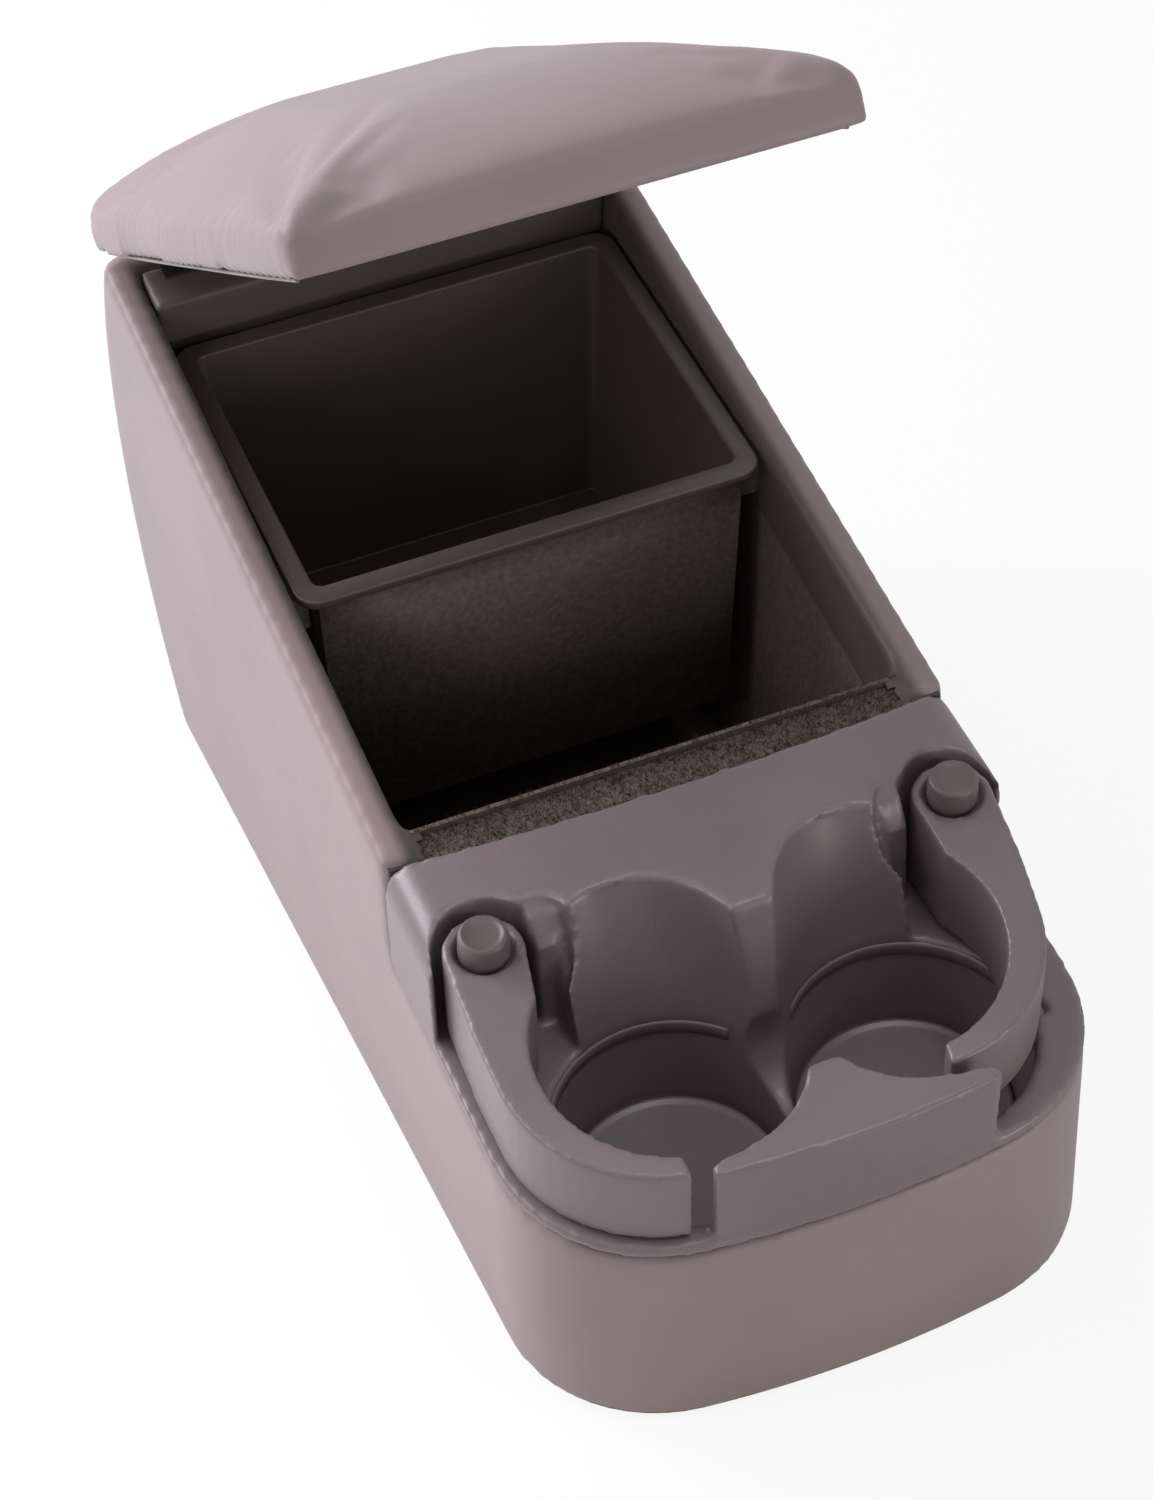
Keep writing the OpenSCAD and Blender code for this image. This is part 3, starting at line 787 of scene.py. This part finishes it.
def pile_on(surface: Object, density: float, length: float, material: Material, seed: int = 3) -> Object:
    """Stand short fibres on a surface and give them back without it.

    Args:
        surface: The object whose faces carry the fibres; it is used up.
        density: Fibres per square metre.
        length: Length of a fibre in metres.
        material: Their finish.
        seed: Seed of their places and turns.

    Returns:
        The fibres as one mesh.
    """
    tree = Tree("short_pile")
    spread = tree.add("GeometryNodeDistributePointsOnFaces")
    spread.inputs["Seed"].default_value = seed
    tree.link(tree.start.outputs["Geometry"], spread.inputs["Mesh"])
    tree.link(tree.size("Density", density), spread.inputs["Density"])
    fibre = tree.add("GeometryNodeMeshCone", fill_type="NONE")
    fibre.inputs["Vertices"].default_value = 3
    fibre.inputs["Radius Top"].default_value = 0.03 * MM
    fibre.inputs["Radius Bottom"].default_value = 0.11 * MM
    tree.link(tree.size("Length", length), fibre.inputs["Depth"])
    lean = tree.add("FunctionNodeRandomValue", data_type="FLOAT_VECTOR")
    lean.inputs["Min"].default_value = (-0.9, -0.9, -3.1)
    lean.inputs["Max"].default_value = (0.9, 0.9, 3.1)
    lean.inputs["Seed"].default_value = seed + 1
    turn = tree.add("FunctionNodeRotateRotation", rotation_space="LOCAL")
    euler = tree.add("FunctionNodeEulerToRotation")
    tree.link(lean.outputs["Value"], euler.inputs["Euler"])
    tree.link(spread.outputs["Rotation"], turn.inputs["Rotation"])
    tree.link(euler.outputs["Rotation"], turn.inputs["Rotate By"])
    grow = tree.add("FunctionNodeRandomValue", data_type="FLOAT")
    grow.inputs[2].default_value, grow.inputs[3].default_value = 0.5, 1.25
    grow.inputs["Seed"].default_value = seed + 2
    stand = tree.add("GeometryNodeInstanceOnPoints")
    tree.link(spread.outputs["Points"], stand.inputs["Points"])
    tree.link(fibre.outputs["Mesh"], stand.inputs["Instance"])
    tree.link(turn.outputs["Rotation"], stand.inputs["Rotation"])
    tree.link(grow.outputs[1], stand.inputs["Scale"])
    return tree.run(surface, stand.outputs["Instances"], material)


def faces_within(obj: Object, keep: Callable[[Vector, Vector], bool]) -> Object:
    """Keep the faces that pass a test and delete the rest.

    Args:
        obj: The object to change.
        keep: The test, given a face's centre and its normal.

    Returns:
        The same object.
    """
    bm = bmesh.new()
    bm.from_mesh(obj.data)
    failed = [face for face in bm.faces if not keep(face.calc_center_median(), face.normal)]
    bmesh.ops.delete(bm, geom=failed, context="FACES")
    bm.to_mesh(obj.data)
    bm.free()
    return obj


# The console


@dataclass
class Upholstery:
    """The vinyl cover of the body and the padded lid, lengths in millimetres unless scaled."""

    frame: dict
    body_voxel: float = 2.6 * MM
    skin_gap: float = 3.2 * MM
    wall_end_side: float = 88
    wall_end_height: float = 42
    wall_end_span: tuple[float, float] = (30, 66)
    lid_voxel: float = 4.0 * MM
    pressure: float = 4.0
    swell_steps: int = 20
    swell: float = 6.0 * MM
    held_height: float = 11.0 * MM
    lid_half: tuple[float, float] = (105.5, 97.5)
    lid_length: float = 304.0
    hem_radius: float = 0.75 * MM
    hem_inset: float = 4.6
    hem_start: float = 8
    hem_trim: float = 22
    hem_height: float = -1.5
    hem_parts: int = 24

    def body_cover(self) -> Object:
        """The cover over the body, with padded, rounded wall tops.

        Returns:
            The cover, in place of its node.
        """
        made = node_copy("body_cover", ["vinyl_cover", "body_shell", "felt_liner", "base_board"], self.frame)
        softened(made, self.body_voxel, 10)
        measure = node_copy("measure", ["vinyl_cover"], self.frame)
        skin = BVHTree.FromObject(measure, bpy.context.evaluated_depsgraph_get())
        back = DECK.inverted()
        near, far = self.wall_end_span

        def on_cover(centre: Vector, _: Vector) -> bool:
            """Whether a face belongs to the cover.

            Args:
                centre: The face's centre.
                _: Its normal, which doesn't matter here.

            Returns:
                True for a face near the CAD cover or at a wall's padded end.
            """
            deck = back @ centre / MM
            at_side = abs(deck.x) > self.wall_end_side and deck.z > self.wall_end_height
            return (at_side and near < deck.y < far) or skin.find_nearest(centre)[3] <= self.skin_gap

        faces_within(made, on_cover)
        bpy.data.objects.remove(measure)
        dress(made, VINYL.material())
        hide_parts("vinyl_cover")
        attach(made, Body.CONSOLE.value)
        return made

    def lid_pad(self) -> Object:
        """The padded cover of the lid, swollen by a cloth simulation.

        Returns:
            The pad, in place of the cushion's node.
        """
        made = node_copy("lid_pad", ["lid_cushion"], self.frame)
        softened(made, self.lid_voxel, 4)
        self.inflate(made)
        finer = made.modifiers.new("finer", "SUBSURF")
        finer.levels = finer.render_levels = 1
        applied(made)
        made.data.polygons.foreach_set("use_smooth", [True] * len(made.data.polygons))
        # The lid takes the vinyl painted lighter for the light on its top
        dress(made, LID_VINYL_PAINTED_LIGHTER.material())
        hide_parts("lid_cushion")
        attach(made, Body.LID.value)
        return made

    def hem(self) -> list[Object]:
        """The turned hem under each end of the lid.

        Returns:
            The two hems.
        """
        rear, front = self.lid_half
        made = []
        for side, name in ((-1, "left_hem"), (1, "right_hem")):
            path = []
            for i in range(self.hem_parts + 1):
                t = i / self.hem_parts
                sag = 0.7 * math.sin(math.pi * t) + 0.12 * math.sin(9 * t)
                x = side * (rear + (front - rear) * t - self.hem_inset)
                y = -self.hem_start - (self.lid_length - self.hem_trim) * t
                path.append(LID @ (MM * Vector((x, y, self.hem_height - sag))))
            piece = piping(name, path, self.hem_radius, HEM_VINYL.material())
            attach(piece, Body.LID.value)
            made.append(piece)
        return made

    def inflate(self, pad: Object) -> None:
        """Swell a pad by pressure and cap how far a point may move.

        Args:
            pad: The pad, whose lower edge is held.
        """
        rest = [v.co.copy() for v in pad.data.vertices]
        cloth = pad.modifiers.new("cloth", "CLOTH")
        cloth.settings.use_pressure = True
        cloth.settings.uniform_pressure_force = self.pressure
        cloth.settings.effector_weights.gravity = 0
        under = LID.inverted()
        held = pad.vertex_groups.new(name="held")
        low = [v.index for v in pad.data.vertices if (under @ v.co).z < self.held_height]
        held.add(low, 1.0, "REPLACE")
        cloth.settings.vertex_group_mass = held.name
        scene = bpy.context.scene
        for step in range(1, self.swell_steps + 1):
            scene.frame_set(step)
        applied(pad)
        pad.vertex_groups.clear()
        scene.frame_set(1)
        for vertex, start in zip(pad.data.vertices, rest):
            move = vertex.co - start
            if move.length > self.swell:
                vertex.co = start + move.normalized() * self.swell


# Radius and height of the profiles that are turned about a cup's or a pivot's axis
WELL = [(0, -40), (37.9, -40), (38.3, -36), (42, 0), (42, 20), (0, 20)]
ARM_RECESS = [(0, 43.6), (9.6, 43.6), (10.2, 45), (10.8, 48), (10.8, 60), (0, 60)]
PIVOT_CAP = [
    (0, 31.4), (3.2, 31.4), (3.6, 31.8), (3.6, 43.6), (8.7, 43.7), (8.8, 47), (8.5, 53.2),
    (8.1, 54.4), (7.3, 54.9), (6.6, 54.7), (6.1, 54.2), (5.0, 54.0), (0, 53.9),
]

# Inset from the floor's radius and rise over its underside, round the floor's edge
FLOOR_EDGE = [(0.4, 0), (0, 1), (0, 3.2), (0.4, 4.1), (1.1, 4.6), (1.9, 4.5), (2.8, 4.0), (4, 3.6)]

# Section of the raised ring round the back of a well
RING_SECTION = [
    (41.2, -2), (41.2, 2.7), (41.6, 3.5), (42.4, 3.8), (46.4, 3.8), (47.1, 3.5), (47.5, 2.8), (47.5, -2),
]

# Front of the wall beside an arm's pocket at each height
POCKET_WALL = {1: -6, 40: -2.5, 49: 4, 52.5: 10}

# Places across the ridge that ends the pocket, and its front at each of them, by height
RIDGE_ACROSS = (60, 56, 52, 61.8)
RIDGE_FRONT = {1.6: (-16.5, -15.3, -14.1, -11), 30: (-5.5, -3.6, -2.3, -3.5), 50: (2.5, 4.6, 5.9, 4)}


@dataclass
class CupHolder:
    """The tray with its two swing arms and their pivot caps, sizes in millimetres unless scaled."""

    frame: dict
    voxel: float = 1.25 * MM
    arm_voxel: float = 1.1 * MM
    cup: tuple[float, float] = (42.5, -60.0)
    pivot: float = 85.5
    floor: float = -36.0
    floor_sink: float = 0.6
    floor_dish: float = 3.5
    floor_r: float = 37.7
    saddle: Point = (21.5, -58.0, 5.0)
    saddle_half: float = 16.0
    web_low: Point = (-13, -79, -30)
    web_high: Point = (13, -37, 1)
    corner_spans: tuple[tuple[float, float], ...] = ((61.5, 70), (-26, -6), (5.1, 62))
    pocket_wall_across: tuple[float, float] = (61, 68.4)
    pocket_back: float = 14
    ring_turn: tuple[float, float] = (40.0, 206.0)
    ring_steps: int = 84
    ring_arc_r: float = 44
    ring_middle: float = 44.3
    ring_taper: float = 3

    def saddle_cutter(self) -> Object:
        """The cutter for the low saddle between the two wells.

        Returns:
            A closed cylinder that lies across the tray.
        """
        radius, y, z = self.saddle
        bm = bmesh.new()
        turn = Matrix.Translation(MM * Vector((0, y, z))) @ Matrix.Rotation(math.pi / 2, 4, "Y")
        bmesh.ops.create_cone(bm, cap_ends=True, segments=64, radius1=radius * MM, radius2=radius * MM,
                              depth=2 * self.saddle_half * MM, matrix=DECK @ turn)
        return linked("saddle_cutter", bm)

    def tray(self) -> Object:
        """The tray with rounded scoops and the saddle between its wells.

        Returns:
            The softened tray.
        """
        made = node_copy("tray", ["cupholder_tray"], self.frame)
        corners = [self.corner_cutter(side) for side in (-1, 1)]
        cut(made, [self.saddle_cutter(), *corners])
        bm = bmesh.new()
        bm.from_mesh(made.data)
        for part in (self.web(), *self.ridges(-1), *self.ridges(1)):
            bm.from_mesh(part.data)
            bpy.data.objects.remove(part)
        bm.to_mesh(made.data)
        bm.free()
        return softened(made, self.voxel, 8)

    def corner_cutter(self, side: int) -> Object:
        """The room between an arm's pocket and the scoop beside it."""
        across, along, up = self.corner_spans
        return self.block([(side * x, y, z) for x in across for y in along for z in up])

    def block(self, points: Sequence[Point]) -> Object:
        """The smallest convex block round points in the tray's own frame.

        Args:
            points: The points, in millimetres.

        Returns:
            A closed object.
        """
        bm = bmesh.new()
        for point in points:
            bm.verts.new(DECK @ (MM * Vector(point)))
        hull = bmesh.ops.convex_hull(bm, input=bm.verts)
        spare = [item for item in hull["geom_interior"] if isinstance(item, bmesh.types.BMVert)]
        bmesh.ops.delete(bm, geom=spare, context="VERTS")
        return linked("block", bm)

    def ridges(self, side: int) -> list[Object]:
        """The wall beside an arm's pocket and the upright ridge that ends it at the scoop.

        Args:
            side: -1 for the left, 1 for the right.

        Returns:
            The wall and the ridge.
        """
        across, back = self.pocket_wall_across, self.pocket_back
        wall = [(side * x, y, z) for z, front in POCKET_WALL.items() for x in across for y in (front, back)]
        ridge = [(side * x, y, z) for z, ys in RIDGE_FRONT.items() for x, y in zip(RIDGE_ACROSS, ys)]
        ends = (min(RIDGE_FRONT), max(RIDGE_FRONT))
        ridge += [(side * x, back, z) for z in ends for x in RIDGE_ACROSS[2:]]
        return [self.block(wall), self.block(ridge)]

    def well_ring(self, side: int) -> Object:
        """The flat C-shaped ring round the back of a well.

        Args:
            side: -1 for the left, 1 for the right.

        Returns:
            The closed ring.
        """
        first, last = self.ring_turn
        steps, middle, taper = self.ring_steps, self.ring_middle, self.ring_taper
        bm = bmesh.new()
        rows = []
        for i in range(steps + 1):
            angle = math.radians(first + (last - first) * i / steps)
            near = min(i, steps - i) / steps * math.radians(last - first) * self.ring_arc_r
            narrow = 1.0 if near > taper else math.sqrt(max(0.02, 1 - (1 - near / taper) ** 2))
            row = []
            for radius, height in RING_SECTION:
                r = middle + (radius - middle) * narrow
                x = -side * r * math.cos(angle) + side * self.cup[0]
                y = r * math.sin(angle) + self.cup[1]
                row.append(bm.verts.new(DECK @ (MM * Vector((x, y, height)))))
            rows.append(row)
        for low, high in zip(rows, rows[1:]):
            for k in range(len(RING_SECTION)):
                j = (k + 1) % len(RING_SECTION)
                bm.faces.new((low[k], low[j], high[j], high[k]))
        bm.faces.new(rows[0])
        bm.faces.new(rows[-1])
        return linked("left_well_ring" if side < 0 else "right_well_ring", bm)

    def web(self) -> Object:
        """The solid web under the saddle, with the wells cut out of it.

        Returns:
            The closed web.
        """
        bm = bmesh.new()
        bmesh.ops.create_cube(bm, size=1.0)
        low, high = self.web_low, self.web_high
        for v in bm.verts:
            v.co = DECK @ (MM * Vector(low[k] + (high[k] - low[k]) * (v.co[k] + 0.5) for k in range(3)))
        made = linked("web", bm)
        wells = [turned("well", WELL, side * self.cup[0], self.cup[1]) for side in (-1, 1)]
        return cut(made, [*wells, self.saddle_cutter()])

    def well_floor(self, side: int) -> Object:
        """The raised floor of a well with its rounded edge.

        Args:
            side: -1 for the left, 1 for the right.

        Returns:
            The closed floor.
        """
        low = self.floor - self.floor_sink
        edge = [(self.floor_r - inset, low + rise) for inset, rise in FLOOR_EDGE]
        name = "left_well_floor" if side < 0 else "right_well_floor"
        profile = [(0, low), *edge, (0, low + self.floor_dish)]
        return turned(name, profile, side * self.cup[0], self.cup[1])

    def arm(self, side: int) -> Object:
        """A swing arm with the round recess that its cap sits in.

        Args:
            side: -1 for the left, 1 for the right.

        Returns:
            The softened arm.
        """
        name = "arm_left" if side < 0 else "arm_right"
        made = node_copy("left_swing_arm" if side < 0 else "right_swing_arm", [name], self.frame)
        cut(made, [turned("recess", ARM_RECESS, side * self.pivot, 0)])
        return softened(made, self.arm_voxel, 9)

    def cap(self, side: int) -> Object:
        """A pivot cap with a shallow dished top."""
        return turned("left_cap" if side < 0 else "right_cap", PIVOT_CAP, side * self.pivot, 0, 64)

    def pieces(self) -> list[Object]:
        """Build the softened tray, its floors, rings, arms and caps.

        Returns:
            The pieces.
        """
        plastic, cap = TRAY_PLASTIC.material(), CAP_PLASTIC.material()
        rows = (
            (self.tray(), "cupholder_tray", Body.CONSOLE, plastic, Slot.TRAY),
            (self.well_floor(-1), "", Body.CONSOLE, plastic, Slot.TRAY),
            (self.well_floor(1), "", Body.CONSOLE, plastic, Slot.TRAY),
            (self.well_ring(-1), "", Body.CONSOLE, plastic, Slot.TRAY),
            (self.well_ring(1), "", Body.CONSOLE, plastic, Slot.TRAY),
            (self.arm(-1), "arm_left", Body.LEFT_ARM, plastic, Slot.TRAY),
            (self.arm(1), "arm_right", Body.RIGHT_ARM, plastic, Slot.TRAY),
            (self.cap(-1), "pivot_cap_left", Body.CONSOLE, cap, Slot.CAP),
            (self.cap(1), "pivot_cap_right", Body.CONSOLE, cap, Slot.CAP),
        )
        for piece, node, body, material, slot in rows:
            dress(piece, material)
            if node:
                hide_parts(node)
            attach(piece, body.value)
        return [row[0] for row in rows]


@dataclass
class Inside:
    """The compartment: its felt, the bin, the hinge rail and the finishes of the kept solids.

    Sizes are in millimetres in the tray's frame, and the pile's density is per square metre.
    """

    frame: dict
    bin_start: float = 163.5
    bin_rim: float = 56.0
    tub_half: float = 83.0
    tub_wall: float = 5.3
    tub_depth: float = 127.0
    tub_draft: float = 0.028
    felt_drop: float = 4.3
    felt_foot: float = 2.0
    felt_faces: tuple[float, float] = (-1.8, -0.2)
    ledge_height: float = 43.9
    ledge_rear: float = 70.0
    ledge_level: float = 0.7
    pile_density: float = 1.7e6
    pile_length: float = 2.0

    def settle(self, piece: Object, node: str = "") -> Object:
        """Tie a piece of the compartment to the console.

        Args:
            piece: The piece.
            node: The CAD node that it replaces, if any.

        Returns:
            The same piece.
        """
        if node:
            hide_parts(node)
        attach(piece, Body.CONSOLE.value)
        return piece

    def bin(self) -> Object:
        """The lift-out bin with softly rounded rim edges.

        Returns:
            The bin, in place of its node.
        """
        made = edged(node_copy("lift_out_bin", ["storage_bin"], self.frame), 0.9 * MM)
        dress(made, BIN_PLASTIC.material())
        return self.settle(made, "storage_bin")

    def rail(self) -> Object:
        """The hinge rail in its dark vinyl covering.

        Returns:
            The covering, in place of the rail and its screws.
        """
        made = softened(node_copy("rail_covering", ["hinge_rail", "rail_screws"], self.frame), 1.6 * MM, 8)
        dress(made, RAIL_VINYL.material())
        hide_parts("rail_screws")
        return self.settle(made, "hinge_rail")

    def bin_front(self, felt: Material) -> Object:
        """The felt panel on the bin's front wall.

        Args:
            felt: The felt's material.

        Returns:
            The closed panel.
        """
        bm = bmesh.new()
        bmesh.ops.create_cube(bm, size=1.0)
        for v in bm.verts:
            x, y, z = v.co * 2
            drop = self.felt_drop if z > 0 else self.tub_depth - self.felt_foot
            height = self.bin_rim - drop
            draft = (self.bin_rim - height) * self.tub_draft
            half = self.tub_half - draft
            place = self.bin_start + self.tub_wall + draft + self.felt_faces[y > 0]
            v.co = DECK @ (MM * Vector((x * half, place, height)))
        return self.settle_felt(linked("bin_front_felt", bm), felt)

    def settle_felt(self, piece: Object, felt: Material) -> Object:
        """Give a piece the felt finish and tie it to the console."""
        dress(piece, felt)
        return self.settle(piece)

    def pile(self, felt: Material) -> Object:
        """The raised pile on the ledge behind the bulkhead.

        Args:
            felt: The felt's material.

        Returns:
            The pile as one mesh.
        """
        up = DECK.to_3x3() @ Vector((0, 0, 1))
        back = DECK.inverted()

        def on_ledge(centre: Vector, normal: Vector) -> bool:
            """Whether a face lies on the ledge.

            Args:
                centre: The face's centre.
                normal: Its normal.

            Returns:
                True for a raised face before the ledge's rear that looks mostly up.
            """
            place = back @ centre
            raised = place.z > self.ledge_height * MM and place.y < self.ledge_rear * MM
            return raised and normal.dot(up) > self.ledge_level

        ledge = faces_within(node_copy("ledge_pile", ["felt_liner"], self.frame), on_ledge)
        return self.settle_felt(pile_on(ledge, self.pile_density, self.pile_length * MM, felt), felt)

    def dress_nodes(self) -> None:
        """Build the compartment's pieces and give each kept solid its finish."""
        # The compartment's felt is painted lighter than the same felt on the ledge
        felt = FELT.material()
        self.bin()
        self.rail()
        self.bin_front(felt)
        self.pile(LEDGE_FELT_PAINTED_DARKER.material())
        steel, dark, board = STEEL.material(), DARK_STEEL.material(), BOARD.material()
        finishes = {
            "felt_liner": felt, "lid_lining": felt, "bin_cleat_left": felt, "bin_cleat_right": felt,
            "body_shell": SHELL_PLASTIC.material(), "base_board": board, "lid_board": board,
            "hinge_leaf_body": dark, "hinge_leaf_lid": dark, "hinge_pin": dark,
            "hinge_screws_body": dark, "hinge_screws_lid": dark,
        }
        for name, node in self.frame["nodes"].items():
            if not node.hide_render:
                dress_node(node, finishes.get(name, steel))


# Studio


@dataclass(frozen=True)
class Lamp:
    """A square area lamp, in metres and watts."""

    name: str
    place: Point
    aim: Point
    size: float
    power: float
    colour: Colour

    def hang(self) -> None:
        """Hang the lamp so that it points at its aim."""
        data = bpy.data.lights.new(self.name, "AREA")
        data.shape = "SQUARE"
        data.size = self.size
        data.energy = self.power
        data.color = self.colour
        made = bpy.data.objects.new(self.name, data)
        bpy.context.scene.collection.objects.link(made)
        made.location = self.place
        made.rotation_euler = (Vector(self.aim) - Vector(self.place)).to_track_quat("-Z", "Y").to_euler()


LAMPS = (
    Lamp("key", (-1.1, 1.1, 1.1), (0, 0, 0.12), 0.9, 28, (0.93, 0.93, 1.0)),
    Lamp("back", (-0.3, 1.7, 1.3), (0, 0.1, 0.3), 1.2, 9, (0.95, 0.93, 1.0)),
    Lamp("top", (0.3, -0.7, 1.9), (0, -0.1, 0.1), 0.5, 7, (0.9, 0.93, 1.0)),
    Lamp("left_bounce", (-0.5, -0.12, 0.42), (-0.5, -0.12, 0), 0.35, 1.2, (1.0, 0.96, 0.97)),
    Lamp("front", (0.5, -0.85, 0.1), (0.05, -0.2, 0.04), 0.3, 2, (1.0, 0.96, 0.95)),
)


@dataclass
class Studio:
    """Floor, lamps, world and the camera at the photograph's angle."""

    eye: Vector = field(default_factory=lambda: Vector((-0.3172, -0.9603, 0.9154)))
    azimuth: float = -17.93
    elevation: float = 39.11
    roll: float = -6.28
    lens: float = 84.0
    shift: tuple[float, float] = (0.0069, 0.0132)
    sensor: float = 36
    floor_half: float = 6.0
    floor_glow: float = 0.88
    ambient: float = 0.29

    def camera(self) -> Object:
        """Place the camera.

        Returns:
            The camera's object.
        """
        data = bpy.data.cameras.new("camera")
        data.lens = self.lens
        data.sensor_width = data.sensor_height = self.sensor
        data.sensor_fit = "VERTICAL"
        data.shift_x, data.shift_y = self.shift
        data.clip_end = 20
        made = bpy.data.objects.new("camera", data)
        bpy.context.scene.collection.objects.link(made)
        a, e = math.radians(self.azimuth), math.radians(self.elevation)
        back = Vector((math.sin(a) * math.cos(e), -math.cos(a) * math.cos(e), math.sin(e)))
        turn = back.to_track_quat("Z", "Y").to_matrix().to_4x4()
        roll = Matrix.Rotation(math.radians(self.roll), 4, "Z")
        made.matrix_world = Matrix.Translation(self.eye) @ turn @ roll
        bpy.context.scene.camera = made
        return made

    def floor(self) -> Object:
        """A large pale floor that keeps the object's shadow.

        Returns:
            The floor's object.
        """
        mesh = bpy.data.meshes.new("floor")
        half = self.floor_half
        corners = [(-half, -half, 0), (half, -half, 0), (half, half, 0), (-half, half, 0)]
        mesh.from_pydata(corners, [], [(0, 1, 2, 3)])
        made = bpy.data.objects.new("floor", mesh)
        bpy.context.scene.collection.objects.link(made)
        s = Shading("pale_floor")
        s.shader.inputs["Base Color"].default_value = (0.9, 0.9, 0.9, 1)
        s.shader.inputs["Roughness"].default_value = 0.9
        s.shader.inputs["Specular IOR Level"].default_value = 0.1
        glow = s.add("ShaderNodeEmission")
        seen = s.add("ShaderNodeMath", operation="MULTIPLY")
        seen.inputs[1].default_value = self.floor_glow
        s.link(s.add("ShaderNodeLightPath").outputs["Is Camera Ray"], seen.inputs[0])
        mixed = s.add("ShaderNodeMixShader")
        s.link(seen.outputs["Value"], mixed.inputs["Fac"])
        s.link(s.shader.outputs["BSDF"], mixed.inputs[1])
        s.link(glow.outputs["Emission"], mixed.inputs[2])
        output = next(n for n in s.tree.nodes if n.type == "OUTPUT_MATERIAL")
        s.link(mixed.outputs["Shader"], output.inputs["Surface"])
        dress(made, s.material)
        return made

    def light(self) -> None:
        """Light the object softly from above and from behind its left."""
        world = bpy.data.worlds.new("studio")
        bpy.context.scene.world = world
        world.use_nodes = True
        tree = world.node_tree
        ground = tree.nodes["Background"]
        ground.inputs["Color"].default_value = (1, 1, 1, 1)
        path = tree.nodes.new("ShaderNodeLightPath")
        seen = tree.nodes.new("ShaderNodeMapRange")
        seen.inputs["To Min"].default_value = self.ambient
        seen.inputs["To Max"].default_value = 1.0
        direct = path.outputs["Is Camera Ray"]
        for label in ("Is Glossy Ray", "Is Transmission Ray"):
            either = tree.nodes.new("ShaderNodeMath")
            either.operation = "MAXIMUM"
            tree.links.new(direct, either.inputs[0])
            tree.links.new(path.outputs[label], either.inputs[1])
            direct = either.outputs["Value"]
        tree.links.new(direct, seen.inputs["Value"])
        tree.links.new(seen.outputs["Result"], ground.inputs["Strength"])
        for lamp in LAMPS:
            lamp.hang()

    def build(self) -> None:
        """Build the whole studio."""
        self.camera()
        self.floor()
        self.light()
        scene = bpy.context.scene
        scene.view_settings.view_transform = "Standard"


def main() -> None:
    """Build the pieces in order."""
    logging.basicConfig(level=logging.INFO)
    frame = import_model()
    Studio().build()
    upholstery = Upholstery(frame)
    steps: list[tuple[str, Callable[[], object]]] = [
        ("body cover", upholstery.body_cover),
        ("lid pad", upholstery.lid_pad),
        ("lid hem", upholstery.hem),
        ("cup holder", CupHolder(frame).pieces),
        ("inside", Inside(frame).dress_nodes),
    ]
    for label, step in steps:
        step()
        LOG.info("built %s", label)


if __name__ == "__main__":
    main()
